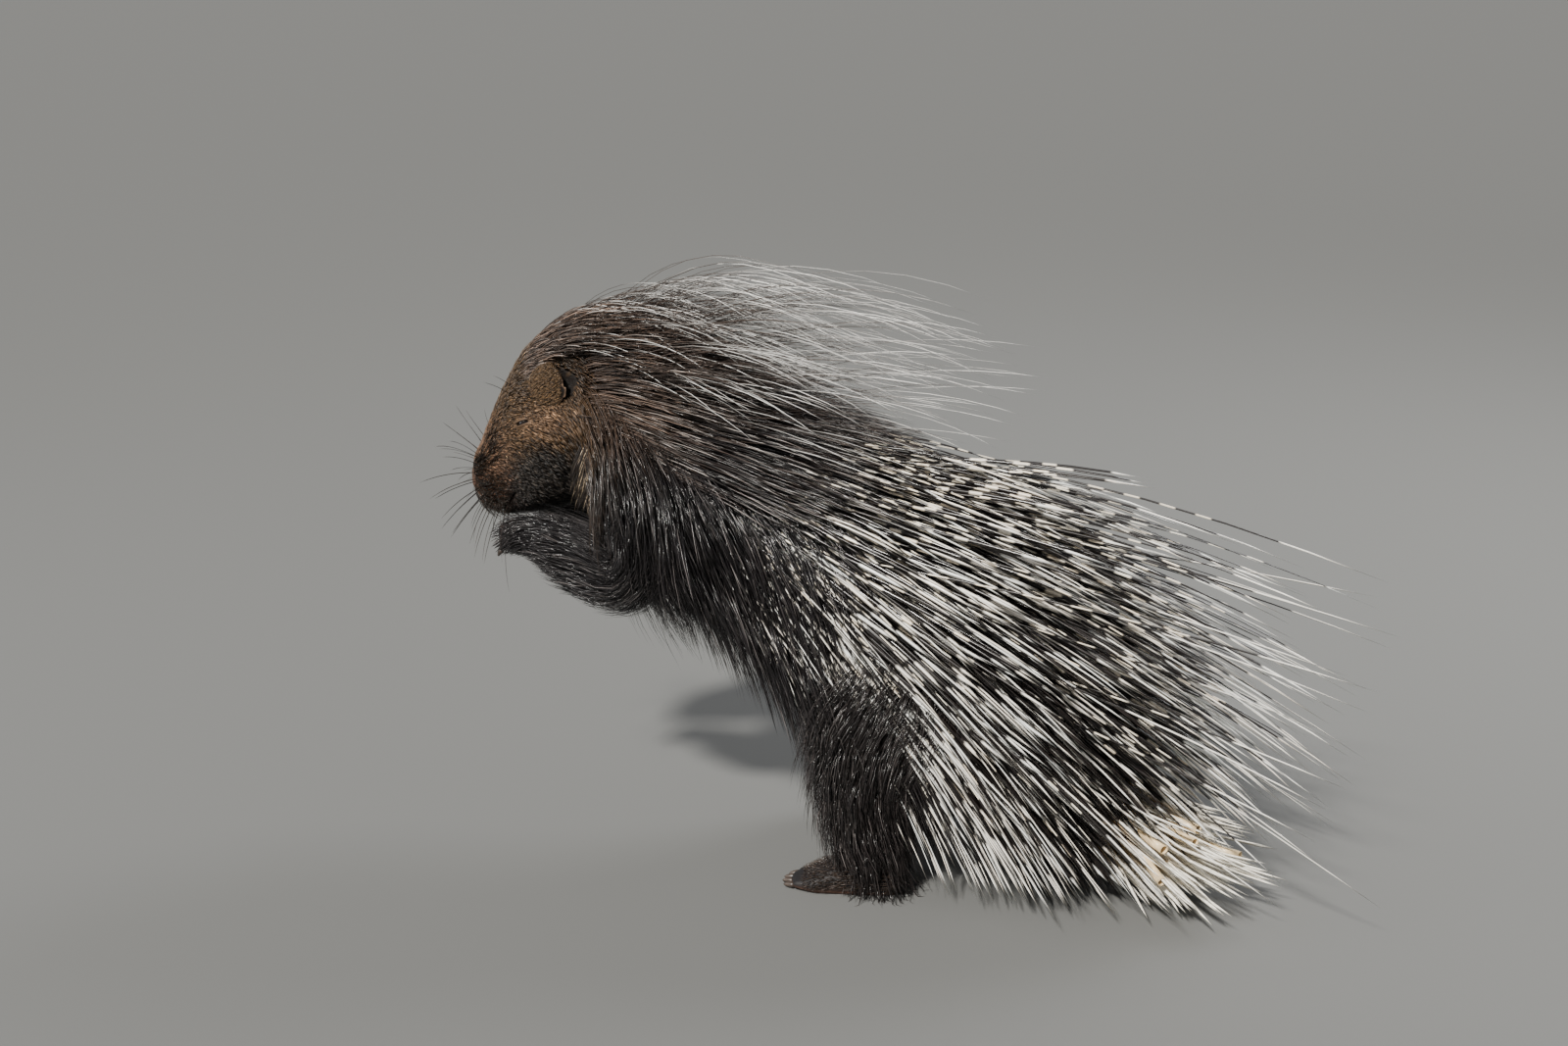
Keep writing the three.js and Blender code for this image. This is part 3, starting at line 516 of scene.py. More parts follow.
def eye_frame(side):
    """Middle of an eye, and the directions along its slit, across it and out of it."""
    spot = spots(trunk, *face_spot(EYE["s"], EYE["z"], side))
    level = unit(np.cross((0, 0, 1), spot["out"]))
    level = level * np.sign(level[0])
    rise = unit(np.cross(spot["out"], level))
    rise = rise * np.sign(rise[2])
    tilt = math.radians(EYE["lift"])
    return {
        "at": spot["at"], "out": spot["out"],
        "along": level * math.cos(tilt) + rise * math.sin(tilt),
        "across": rise * math.cos(tilt) - level * math.sin(tilt),
    }


eye_frames = {side: eye_frame(side) for side in (LEFT, RIGHT)}
print("left eye, in m:", eye_frames[LEFT]["at"].round(3))


def near_features(centres, reach):
    """Whether faces are within reach, in millimetres, of an eye, the mouth or a nostril."""
    face = to_face(centres)
    side_view = face[:, [0, 2]]
    mouth, _ = line_distance(side_view, MOUTH)
    nostril, _ = line_distance(side_view, NOSTRIL)
    near = (np.minimum(mouth, nostril) < reach * 0.8) & (face[:, 0] < -55)
    for eye in eye_frames.values():
        near |= np.linalg.norm(centres - eye["at"], axis=1) < reach * 1.1 * MM
    return near


for reach in (18, 11, 6.5):
    subdivide_where(skin, lambda centres, reach=reach: near_features(centres, reach))
print("skin with a fine face:", len(skin.data.vertices), "vertices")

# %% Shape lids, lips, nostrils and the hollows of the ears
skin_places = places_of(skin)
face = to_face(skin_places)
outwards = np.empty(len(skin_places) * 3)
skin.data.vertices.foreach_get("normal", outwards)
outwards = outwards.reshape(-1, 3)
push = np.zeros(len(skin_places))


def slit_shape(places, eye):
    """Distance along the slit and across it, bent as the lids are, and how open it is there."""
    away = (places - eye["at"]) / MM
    lengthwise, across = away @ eye["along"], away @ eye["across"]
    bent = across + 0.05 * lengthwise**2 / EYE["slit"]
    open_part = np.clip(1 - (lengthwise / EYE["slit"]) ** 2, 0, 1) ** 0.5
    return lengthwise, across, bent, open_part * (np.linalg.norm(away, axis=1) < 22)


for eye in eye_frames.values():
    lengthwise, across, bent, open_part = slit_shape(skin_places, eye)
    near = np.linalg.norm(skin_places - eye["at"], axis=1) < 30 * MM
    dome = 2.6 * bell(lengthwise, 9.5) * bell(across - 0.8, 7.0)
    rims = 0.8 * bell(np.abs(bent) - 2.3, 0.8) * open_part
    fold = -0.7 * bell(bent - 5.2 + 0.03 * lengthwise**2, 0.9) * bell(lengthwise, 8)
    bag = -0.5 * bell(bent + 5.0 - 0.03 * lengthwise**2, 0.9) * bell(lengthwise, 7)
    push += near * (dome + rims + fold + bag - 4.6 * bell(bent, 1.05) * open_part)

side_view = face[:, [0, 2]]
mouth, mouth_share = line_distance(side_view, MOUTH)
corner = np.clip((1 - mouth_share) * 6, 0, 1) * np.clip(0.2 + mouth_share * 4, 0, 1)
push += (face[:, 0] < -60) * (1.4 * bell(mouth - 3.6, 1.9) * corner - 5.0 * bell(mouth, 1.15) * corner)
wide = np.abs(np.abs(face[:, 1]) - 9.5)
flare = np.sqrt(wide**2 + (0.55 * (face[:, 2] + 64)) ** 2)
nostril_slit = bell(wide, 1.3) * bell(face[:, 2] + 64, 8.5) * (face[:, 0] < -96)
push += (face[:, 0] < -96) * (1.6 * bell(flare - 3.8, 2.2) - 0.9 * bell(face[:, 1], 1.3)) - 5.0 * nostril_slit


# %% The hollow behind each ear
def ear_frame(side):
    """Middle of an ear's ball, and its turn: the rear rim stands off the head."""
    spot = spots(trunk, *face_spot(EAR["s"], EAR["z"], side))
    turn = math.radians(HEAD_TURN - side * EAR["flare"])
    cos, sin = math.cos(turn), math.sin(turn)
    spin = np.array([[cos, -sin, 0], [sin, cos, 0], [0, 0, 1]])
    return spot["at"] + spot["out"] * (EAR["set"] - EAR["radii"][1] / 2) * MM, spin, spot


ear_frames = {side: ear_frame(side) for side in (LEFT, RIGHT)}


def in_ear(places, side, shift=0.0):
    """Distance from the middle of an ear, 1 on its ball, and how far behind its middle in mm."""
    centre, spin, _ = ear_frames[side]
    local = (places - centre) @ spin / MM
    local[..., 0] -= shift
    return np.linalg.norm(local / np.array(EAR["radii"]), axis=-1), local


for side in (LEFT, RIGHT):
    ball, local = in_ear(skin_places, side, EAR["hollow"])
    push -= 9.0 * bell(np.maximum(ball - 0.35, 0), 0.42)
move_to(skin, skin_places + outwards * push[:, None] * MM)
print("face moved by", round(push.min(), 1), "to", round(push.max(), 1), "mm")


# %% Flaps of the ears
def rim_line(up):
    """How far back the flap reaches, in mm, at each height: rounded, with a small notch."""
    return EAR["cut"] - 0.04 * up**2 - 2.2 * bell(up - 4, 2.6)


def ear_cup(side):
    centre, spin, _ = ear_frames[side]
    bpy.ops.object.select_all(action="DESELECT")
    bpy.ops.mesh.primitive_uv_sphere_add(segments=48, ring_count=32, radius=1)
    cup = bpy.context.object
    cup.name = "ear"
    bpy.ops.transform.resize(value=[r * MM for r in EAR["radii"]])
    bpy.ops.object.transform_apply(location=False, rotation=False, scale=True)
    places = places_of(cup)
    nothing_selected("VERT")
    rear = places[:, 0] > rim_line(places[:, 2] / MM) * MM
    cup.data.vertices.foreach_set("select", rear)
    bpy.ops.object.mode_set(mode="EDIT")
    bpy.ops.mesh.delete(type="VERT")
    bpy.ops.object.mode_set(mode="OBJECT")
    move_to(cup, places_of(cup) @ spin.T + centre)
    apply_modifier(cup, "SOLIDIFY", thickness=EAR["wall"] * MM, offset=-1)
    apply_modifier(cup, "SUBSURF", levels=1, render_levels=1)
    return cup


skin = join([skin, ear_cup(LEFT), ear_cup(RIGHT)], "skin")
bpy.ops.object.shade_smooth()
print("skin with ears:", len(skin.data.vertices), "vertices")

# %% [markdown]
# ## Eyes
# The eyes are nearly shut, so only a dark wet line of each ball is seen between the lids.


# %% Eyes
def eyeball(side):
    eye = eye_frames[side]
    centre = eye["at"] + eye["out"] * (0.3 - EYE["radius"]) * MM
    radius = EYE["radius"] * MM
    bpy.ops.mesh.primitive_uv_sphere_add(segments=32, ring_count=20, radius=radius, location=centre)
    ball = bpy.context.object
    ball.name = "eyeball_left" if side == LEFT else "eyeball_right"
    bpy.ops.object.shade_smooth()
    bpy.ops.object.transform_apply(location=True, rotation=False, scale=True)
    return ball


eyes = [eyeball(side) for side in (LEFT, RIGHT)]
print("eyes:", [ball.name for ball in eyes])

# %% [markdown]
# ## One way to grow a coat
# Every hair, bristle and quill is the same small thing: a line from its root to its tip with a
# three-sided section that tapers. All of one kind are made at once as arrays and become one mesh.
# Each keeps, in its vertices, a number of its own, how far along it a vertex is and how far from
# its tip, and its colour, so that one material can ring and shade thousands of them.

# %% Roots spread evenly over a form
UNWRAP = {  # corner, width and height of each form's place on the unwrapped skin
    "trunk": (0.01, 0.51, 0.98, 0.48), "tail": (0.81, 0.02, 0.17, 0.46),
    "arm_left": (0.01, 0.02, 0.17, 0.2), "arm_right": (0.01, 0.26, 0.17, 0.2),
    "leg_left": (0.2, 0.02, 0.28, 0.34), "leg_right": (0.5, 0.02, 0.28, 0.34),
    "foot_left": (0.2, 0.38, 0.28, 0.1), "foot_right": (0.5, 0.38, 0.28, 0.1),
}


def spread_roots(form, stations, arounds, spacing, seed):
    """Stations and angles of roots in staggered rows, evenly apart and a little scattered."""
    rng = np.random.default_rng(seed)
    fine = np.linspace(*stations, 200)
    lines = spots(form, fine, np.full(200, 90.0))["per_station"]
    length = np.concatenate([[0], np.cumsum((lines[1:] + lines[:-1]) / 2 * np.diff(fine))])
    rows = max(2, round(length[-1] / spacing))
    found = []
    degrees = np.linspace(*arounds, 91)
    for row in range(rows):
        station = np.interp((row + 0.5) / rows * length[-1], length, fine)
        girth = spots(form, np.full(91, station), degrees)["per_degree"]
        reach = np.concatenate([[0], np.cumsum((girth[1:] + girth[:-1]) / 2 * np.diff(degrees))])
        count = max(1, round(reach[-1] / spacing))
        at = (np.arange(count) + 0.25 + 0.5 * (row % 2) + rng.uniform(-0.35, 0.35, count)) / count
        around = np.interp(np.clip(at, 0, 1) * reach[-1], reach, degrees)
        scatter = rng.uniform(-0.4, 0.4, count) * length[-1] / rows
        per_station = np.interp(station, fine, lines)
        found.append(np.stack([station + scatter / per_station, around], -1))
    found = np.concatenate(found)
    found[:, 0] = np.clip(found[:, 0], *stations)
    return found[:, 0], found[:, 1]


trial = spread_roots(trunk, (9.0, 12.0), (-100, 100), 10 * MM, 1)
print("roots 10 mm apart over the back of shoulders and chest:", len(trial[0]))


def unwrapped(form_name, station, around):
    """Where a root lies on the unwrapped skin."""
    u, v, width, height = UNWRAP[form_name]
    last = LAST if form_name == "trunk" else 1
    return np.stack([
        u + width * np.clip(station / last, 0, 1),
        v + height * ((around + 180) % 360) / 360,
    ], -1)


# %% Locks of neighbouring hairs
def lock_of(station, around, steps):
    """A number for the lock that each root belongs to, from a grid of stations and degrees."""
    cells = np.floor(np.stack([station / steps[0], around / steps[1]], -1)).astype(int)
    cells[:, 1] = np.floor(around / steps[1] + 0.5 * (cells[:, 0] % 2)).astype(int)
    _, which = np.unique(cells, axis=0, return_inverse=True)
    return which.ravel()


def of_lock(locks, rng, low, high):
    """One random number for each lock, given to all its hairs."""
    return rng.uniform(low, high, locks.max() + 1)[locks]


def gather(paths, locks, amount):
    """Draws the hairs of each lock together towards their tips."""
    steps = paths.shape[1] - 1
    ahead = unit(paths[:, -1] - paths[:, 0])
    size = np.bincount(locks)[:, None]
    for i in range(1, steps + 1):
        middle = np.stack([np.bincount(locks, paths[:, i, k]) for k in range(3)], -1) / size
        off = middle[locks] - paths[:, i]
        off = off - (off * ahead).sum(1, keepdims=True) * ahead
        paths[:, i] += off * amount * (i / steps) ** 1.3
    return paths


print("locks those roots fall into:", len(set(lock_of(*trial, (0.2, 11)))))


# %% Paths of hairs
def lying_paths(form, station, around, length, turn, rise, steps, sink=0.003):
    """Lines that follow a form: turn swings them towards the belly, rise lifts their tips."""
    spot = spots(form, station, around)
    down = np.where(around < 0, -1.0, 1.0)
    lengthwise = np.cos(np.radians(turn)) * length / spot["per_station"]
    sideways = down * np.sin(np.radians(turn)) * length / spot["per_degree"]
    for _ in range(3):
        reach = np.linalg.norm(form(station + lengthwise, around + sideways) - spot["at"], axis=-1)
        short = np.clip(length / np.maximum(reach, 1e-5), 0.3, 1.6)
        lengthwise, sideways = lengthwise * short, sideways * short
    shares = np.linspace(0, 1, steps + 1)
    shares[0] = -0.04
    points = [
        form(station + lengthwise * t, around + sideways * t, np.where(t < 0, -sink, rise * abs(t) ** 0.6))
        for t in shares
    ]
    return np.stack(points, axis=1), spot["out"]


def free_paths(roots, out, start, end, length, steps, sink=0.004):
    """Lines that leave the body in one direction and bend into another."""
    shares = np.linspace(0, 1, steps + 1)
    points = [
        roots + start * (t * length)[:, None] + (end - start) * (0.5 * t * t * length)[:, None]
        for t in shares
    ]
    points[0] = roots - out * sink
    return np.stack(points, axis=1)


lying, _ = lying_paths(trunk, *trial, 50 * MM, 0.0, 5 * MM, 3)
print("mean reach of 50 mm hairs:", np.linalg.norm(lying[:, -1] - lying[:, 0], axis=-1).mean().round(4))


# %% The shape of one strand
PATCH = 0.003  # across a strand's place on the unwrapped skin
LOWEST_PATH, LOWEST_CORNER = 0.6 * MM, 0.2 * MM  # hair that would reach the floor is laid flat there


def strand_places(paths, out, half, depth):
    """Three corners round each point of each path, and one at the tip that ends it."""
    count, rings = paths.shape[0], paths.shape[1] - 1
    ahead = np.empty((count, rings, 3))
    ahead[:, 0] = paths[:, 1] - paths[:, 0]
    ahead[:, 1:] = paths[:, 2:] - paths[:, :-2]
    ahead = unit(ahead)
    flat = unit(np.cross(out[:, None, :], ahead))
    top = np.cross(ahead, flat)
    corners = np.stack([
        paths[:, :-1] + flat * half[..., None] - top * depth[..., None] / 3,
        paths[:, :-1] + top * depth[..., None] * 2 / 3,
        paths[:, :-1] - flat * half[..., None] - top * depth[..., None] / 3,
    ], axis=2)
    places = np.concatenate([corners.reshape(count, rings * 3, 3), paths[:, -1:]], axis=1)
    places[..., 2] = np.maximum(places[..., 2], LOWEST_CORNER)
    return places


def strand_faces(rings):
    """One strand's vertex numbers: its four-sided faces, then the triangles of root and tip."""
    ring = np.arange(rings - 1)[:, None] * 3
    k = np.arange(3)
    sides = np.stack([ring + k, ring + (k + 1) % 3, ring + 3 + (k + 1) % 3, ring + 3 + k], -1)
    last = (rings - 1) * 3
    tip = np.stack([np.full(3, rings * 3), last + k, last + (k + 1) % 3], -1)
    return sides.ravel(), np.concatenate([[2, 1, 0], tip.ravel()])


print("four-sided faces of a strand of 4 rings:", len(strand_faces(4)[0]) // 4)


# %% From paths to a mesh
def keep_values(mesh, name, kind, key, values):
    """Stores one value for each vertex, for a material to read."""
    attribute = mesh.attributes.new(name, kind, "POINT")
    attribute.data.foreach_set(key, values.astype(np.float32).ravel())


def strand_mesh(name, places, rings):
    """The mesh of all strands, and its vertex at each corner of its faces."""
    count, size = places.shape[:2]
    sides, ends = strand_faces(rings)
    starts = np.arange(count)[:, None] * size
    loops = np.concatenate([(starts + sides).ravel(), (starts + ends).ravel()]).astype(np.int32)
    quads = count * 3 * (rings - 1)
    loop_starts = np.concatenate([np.arange(quads) * 4, quads * 4 + np.arange(count * 4) * 3])
    mesh = bpy.data.meshes.new(name)
    mesh.vertices.add(count * size)
    mesh.vertices.foreach_set("co", places.astype(np.float32).ravel())
    mesh.loops.add(len(loops))
    mesh.loops.foreach_set("vertex_index", loops)
    mesh.polygons.add(len(loop_starts))
    mesh.polygons.foreach_set("loop_start", loop_starts.astype(np.int32))
    mesh.update(calc_edges=True)
    mesh.polygons.foreach_set("use_smooth", np.ones(len(loop_starts), bool))
    print(f"{name}: {count} strands, {quads * 2 + count * 4} triangles")
    return mesh, loops


def link_piece(name, mesh):
    piece = bpy.data.objects.new(name, mesh)
    bpy.context.scene.collection.objects.link(piece)
    return piece


def unwrap(mesh, spots_uv):
    """The map for baking, from a place on the unwrapped skin for each corner of the faces."""
    layer = mesh.uv_layers.new(name="OFBake")
    layer.uv.foreach_set("vector", spots_uv.astype(np.float32).ravel())


def grow_coat(name, paths, out, half, depth, colours, rng, patch):
    """One mesh of tapered three-sided strands, their tips last in each path.

    half is the half width and depth the thickness at each ring, colours the colour at each point.
    """
    count, rings = paths.shape[0], paths.shape[1] - 1
    paths[..., 2] = np.maximum(paths[..., 2], LOWEST_PATH)
    places = strand_places(paths, out, half, depth)
    size = places.shape[1]
    mesh, loops = strand_mesh(name, places, rings)
    reach = np.linalg.norm(np.diff(paths, axis=1), axis=-1)
    distance = np.concatenate([np.zeros((count, 1)), np.cumsum(reach, axis=1)], axis=1)
    each = np.concatenate([np.repeat(np.arange(rings), 3), [rings]])
    share = (distance / distance[:, -1:])[:, each]
    own = np.repeat(rng.random(count)[:, None], size, axis=1)
    strand = np.stack([own, share, (distance[:, -1:] - distance)[:, each]], axis=-1)
    keep_values(mesh, "strand", "FLOAT_VECTOR", "vector", strand)
    tint = np.concatenate([colours[:, each], np.ones((count, size, 1))], axis=-1)
    keep_values(mesh, "tint", "FLOAT_COLOR", "color", tint)
    corner_u = np.array([0.0, 0.5, 1.0] * rings + [0.5])
    spots_uv = np.stack([
        patch[:, None, 0] + PATCH * (corner_u[None] - 0.5),
        patch[:, None, 1] + PATCH * (share - 0.5),
    ], axis=-1).reshape(-1, 2)
    unwrap(mesh, spots_uv[loops])
    return link_piece(name, mesh)


def taper(length, rings, widest, root=0.8, swell=0.35, tip=0.45):
    """Sizes along strands of one widest size each: fuller at the swell, finer towards the tip."""
    shares = np.linspace(0, 1, rings + 1)[:-1]
    shape = np.interp(shares, [0, swell, 0.8, 1], [root, 1, (1 + tip) / 2, tip])
    return np.broadcast_to(widest, (length,))[:, None] * shape


# %% [markdown]
# ## Colours of the coat
# The same function of place colours the skin and the roots of the coat, so the markings never
# part: olive brown on the face, redder on the muzzle, a black cheek, orange brown round the eye and
# the ear, brown on the neck, and black from the shoulders down.

# %% Markings
OLIVE_BROWN = (0.062, 0.036, 0.016)
EYE_BROWN = (0.17, 0.1, 0.056)
MUZZLE_BROWN = (0.15, 0.085, 0.05)
RED_BROWN = (0.1, 0.045, 0.024)
CHEEK_BLACK = (0.011, 0.008, 0.006)
NECK_BROWN = (0.042, 0.027, 0.019)
COAT_BLACK = (0.010, 0.0085, 0.009)
EAR_RIM = (0.36, 0.23, 0.15)


def blend_in(colours, colour, share):
    share = np.clip(share, 0, 1)[:, None]
    return colours * (1 - share) + np.array(colour) * share


def markings(places):
    """Colour of the coat at places of the body."""
    face = to_face(places)
    back, up = face[:, 0], face[:, 2]
    colours = np.tile(COAT_BLACK, (len(places), 1))
    on_head = 1 - step_up(back + 0.3 * up, -22, 30)
    colours = blend_in(colours, NECK_BROWN, (1 - step_up(back, 20, 110)) * step_up(up, -15, 25))
    colours = blend_in(colours, OLIVE_BROWN, on_head * step_up(up, -60, -20))
    eye = np.hypot((back + 40) / 1.7, up - 4 - 0.3 * (back + 40))
    colours = blend_in(colours, EYE_BROWN, 0.9 * bell(eye, 15))
    muzzle = np.hypot((back + 98) * 0.9, (up + 42) * 0.62)
    colours = blend_in(colours, MUZZLE_BROWN, 0.95 * bell(muzzle, 20))
    colours = blend_in(colours, RED_BROWN, 1.1 * bell(np.hypot(back + 102, (up + 82) * 0.8), 19))
    band, _ = line_distance(face[:, [0, 2]], ((-10, -22), (22, -12), (60, -3)))
    colours = blend_in(colours, CHEEK_BLACK, 0.95 * bell(band, 10))
    cheek = np.hypot((back + 45) / 33, (up + 52 - 0.25 * (back + 45)) / 35)
    return blend_in(colours, CHEEK_BLACK, 1 - step_up(cheek, 0.65, 1.2))


def shaded(base, rng, spread=0.35, tips=None, tip_share=None, steps=4):
    """Colours along strands: each a little lighter or darker, and changing towards its tip."""
    count = len(base)
    light = np.exp(rng.normal(0, spread, count))[:, None, None]
    colours = np.repeat(base[:, None, :] * light, steps + 1, axis=1)
    if tips is not None:
        shares = np.linspace(0, 1, steps + 1)[None, :, None]
        ends = np.clip((shares - (1 - tip_share[:, None, None])) / 0.25, 0, 1)
        colours = colours * (1 - ends) + np.array(tips)[:, None, :] * ends
    return np.clip(colours, 0.002, 0.95)


print("colours of nose, neck and back:", markings(trunk(np.array([0, 8, 12.0]), 0.0)).round(3).tolist())


# %% Nodes of the materials
def attribute_colour(tree, name):
    node = tree.nodes.new("ShaderNodeAttribute")
    node.attribute_name = name
    return node


def feed(tree, sockets, values):
    """Sets each input to a number or colour, or links it to another node's output."""
    for socket, value in zip(sockets, values):
        if isinstance(value, (int, float, tuple)):
            socket.default_value = value
        else:
            tree.links.new(value, socket)


def maths(tree, operation, *values):
    node = tree.nodes.new("ShaderNodeMath")
    node.operation = operation
    feed(tree, node.inputs, values)
    return node.outputs[0]


def blend_node(tree, kind, factor, a, b):
    node = tree.nodes.new("ShaderNodeMix")
    node.data_type = "RGBA"
    node.blend_type = kind
    feed(tree, [node.inputs[key] for key in ("Factor", "A", "B")], (factor, a, b))
    return node.outputs["Result"]


def span(tree, value, source, target=(0.0, 1.0)):
    """Maps the source range of a value onto the target range."""
    node = tree.nodes.new("ShaderNodeMapRange")
    keys = ("Value", "From Min", "From Max", "To Min", "To Max")
    feed(tree, [node.inputs[key] for key in keys], (value, *source, *target))
    return node.outputs["Result"]


def noise_factor(tree, scale, stretch=(1, 1, 1), detail=2.0):
    """Noise in the piece's own metres."""
    place = tree.nodes.new("ShaderNodeTexCoord")
    turn = tree.nodes.new("ShaderNodeMapping")
    turn.inputs["Scale"].default_value = stretch
    noise = tree.nodes.new("ShaderNodeTexNoise")
    noise.inputs["Scale"].default_value = scale
    noise.inputs["Detail"].default_value = detail
    tree.links.new(place.outputs["Object"], turn.inputs["Vector"])
    tree.links.new(turn.outputs["Vector"], noise.inputs["Vector"])
    return noise.outputs["Fac"]


def add_bump(tree, shader, noise, distance, strength=1.0):
    bump = tree.nodes.new("ShaderNodeBump")
    bump.inputs["Strength"].default_value = strength
    bump.inputs["Distance"].default_value = distance
    tree.links.new(noise, bump.inputs["Height"])
    tree.links.new(bump.outputs["Normal"], shader.inputs["Normal"])


def shader_of(material):
    tree = material.node_tree
    return tree, tree.nodes["Principled BSDF"]


# %% Materials of skin and strands
def strand_material(name, roughness, specular=0.5, sheen=0.0):
    """Hair whose colour is its own, with a slight mottle along it."""
    material = plain_material(name, (0.05, 0.04, 0.04), roughness)
    tree, shader = shader_of(material)
    shader.inputs["Specular IOR Level"].default_value = specular
    shader.inputs["Sheen Weight"].default_value = sheen
    tint = attribute_colour(tree, "tint").outputs["Color"]
    shade = span(tree, noise_factor(tree, 260.0), (0.0, 1.0), (0.6, 1.4))
    tree.links.new(blend_node(tree, "MULTIPLY", 1.0, tint, shade), shader.inputs["Base Color"])
    return material


def mottle(material, scale, low, high, stretch=(1, 1, 1), height=0.0):
    """Varies a plain material's colour with fine noise, and roughens its surface by height metres."""
    tree, shader = shader_of(material)
    noise = noise_factor(tree, scale, stretch)
    shade = span(tree, noise, (0.3, 0.7), (low, high))
    plain = tuple(shader.inputs["Base Color"].default_value)
    tree.links.new(blend_node(tree, "MULTIPLY", 1.0, plain, shade), shader.inputs["Base Color"])
    if height:
        add_bump(tree, shader, noise, height)
    return material


def skin_material():
    """Skin and its shortest fur: the markings, mottled, with a fine bump of hairs."""
    material = strand_material("furred_skin", 0.6, 0.35)
    tree, shader = shader_of(material)
    add_bump(tree, shader, noise_factor(tree, 700.0, detail=3.0), 0.001, 0.5)
    return material


# %% Colour the skin
def skin_markings_and_shade():
    """The coat's markings, pale rims of the ears and bare soles, with painted shade in the slits of
    the eyes, the mouth's gap, the nostrils and the hollows of the ears.
    """
    places = places_of(skin)
    face = to_face(places)
    colours = markings(places) * 0.75
    # dark is painted shade: it darkens the slits of the eyes, the mouth's gap, the nostrils and the hollows
    # of the ears.
    dark = (0.006, 0.004, 0.003)
    # Painted shade along the slit between the lids of each eye.
    for eye in eye_frames.values():
        lengthwise, _, bent, open_part = slit_shape(places, eye)
        colours = blend_in(colours, dark, bell(bent, 1.5) * open_part * 1.6)
        colours = blend_in(colours, dark, 0.8 * bell(bent, 0.7) * bell(lengthwise, 8))
    # Painted shade in the gap between the lips.
    gap, _ = line_distance(face[:, [0, 2]], MOUTH)
    colours = blend_in(colours, dark, 1.2 * bell(gap, 1.3) * (face[:, 0] < -66))
    # Painted shade in the openings of the nostrils.
    holes = bell(np.abs(np.abs(face[:, 1]) - 9.5), 1.6) * bell(face[:, 2] + 64, 9)
    colours = blend_in(colours, dark, 1.3 * holes * (face[:, 0] < -100))
    for side in (LEFT, RIGHT):
        ball, local = in_ear(places, side)
        rim = (ball > 0.955) & (ball < 1.1) & (local[:, 1] * side < -2)
        # Painted shade inside each ear's cup and in the hollow behind its rim.
        colours = blend_in(colours, dark, 1.1 * (1 - step_up(ball, 0.94, 0.97)))
        hollow, _ = in_ear(places, side, EAR["hollow"])
        colours = blend_in(colours, dark, (1 - step_up(hollow, 0.92, 1.08)) * (ball > 0.98) * 1.2)
        colours = blend_in(colours, EAR_RIM, 0.8 * rim * step_up(local[:, 0] - rim_line(local[:, 2]), -4, -1))
    low = 1 - step_up(places[:, 2], 0.002, 0.007)
    return blend_in(colours, (0.1, 0.05, 0.034), low * (places[:, 0] < 0.06))


tint_of_skin = skin_markings_and_shade()
with_alpha = np.concatenate([tint_of_skin, np.ones((len(tint_of_skin), 1))], axis=1)
keep_values(skin.data, "tint", "FLOAT_COLOR", "color", with_alpha)
FUR = strand_material("face_fur", 0.5, 0.5)
BRISTLE = strand_material("glossy_bristle", 0.23, 0.42)
CREST = strand_material("crest_bristle", 0.28, 0.45)
skin.data.materials.clear()
skin.data.materials.append(skin_material())
eye_material = mottle(plain_material("wet_eye", (0.008, 0.005, 0.004), 0.12), 400.0, 0.4, 1.6)
for ball in eyes:
    ball.data.materials.append(eye_material)
print("materials:", [m.name for m in bpy.data.materials if m.users])

# %% [markdown]
# ## Fur of the face and the ears
# The fur here is short and lies flat, longest on the crown and the cheeks and hardly there on the
# nose. It is grown as fine tufts that point away from the nose and bend down over the cheeks.
# Round the eyes and the mouth it is shorter still, so that lids and lips stay readable.

# %% Fur of the face
FUR_LENGTH = along([0, 1, 2.5, 4, 5, 6, 7, 8], [2.2, 3.2, 5.0, 7.0, 9.5, 13.0, 18.0, 24.0])
FUR_THICK = along([0, 3, 6, 8], [0.38, 0.43, 0.5, 0.54])
coat_pieces = []


def keep_coat(piece, material, slot):
    piece.data.materials.append(material)
    coat_pieces.append((piece, slot))


def bare_distance(places):
    """Millimetres from the nearest bare place: lids, lips, nose and the hollows of the ears."""
    face = to_face(places)
    clear = np.full(len(places), 99.0)
    for side in (LEFT, RIGHT):
        lengthwise, across, *_ = slit_shape(places, eye_frames[side])
        near = np.linalg.norm(places - eye_frames[side]["at"], axis=1) < 30 * MM
        lids = np.hypot(lengthwise * 0.42, across) - 3.2
        clear = np.where(near, np.minimum(clear, lids), clear)
        hollow, _ = in_ear(places, side, EAR["hollow"])
        ball, _ = in_ear(places, side)
        clear = np.minimum(clear, (np.minimum(hollow + 0.1, ball) - 1.0) * 16)
    gap, _ = line_distance(face[:, [0, 2]], MOUTH)
    clear = np.minimum(clear, gap - 1.4)
    nose = np.hypot(face[:, 0] + 115, (face[:, 2] + 64) * 0.8) - 5
    return np.minimum(clear, nose)


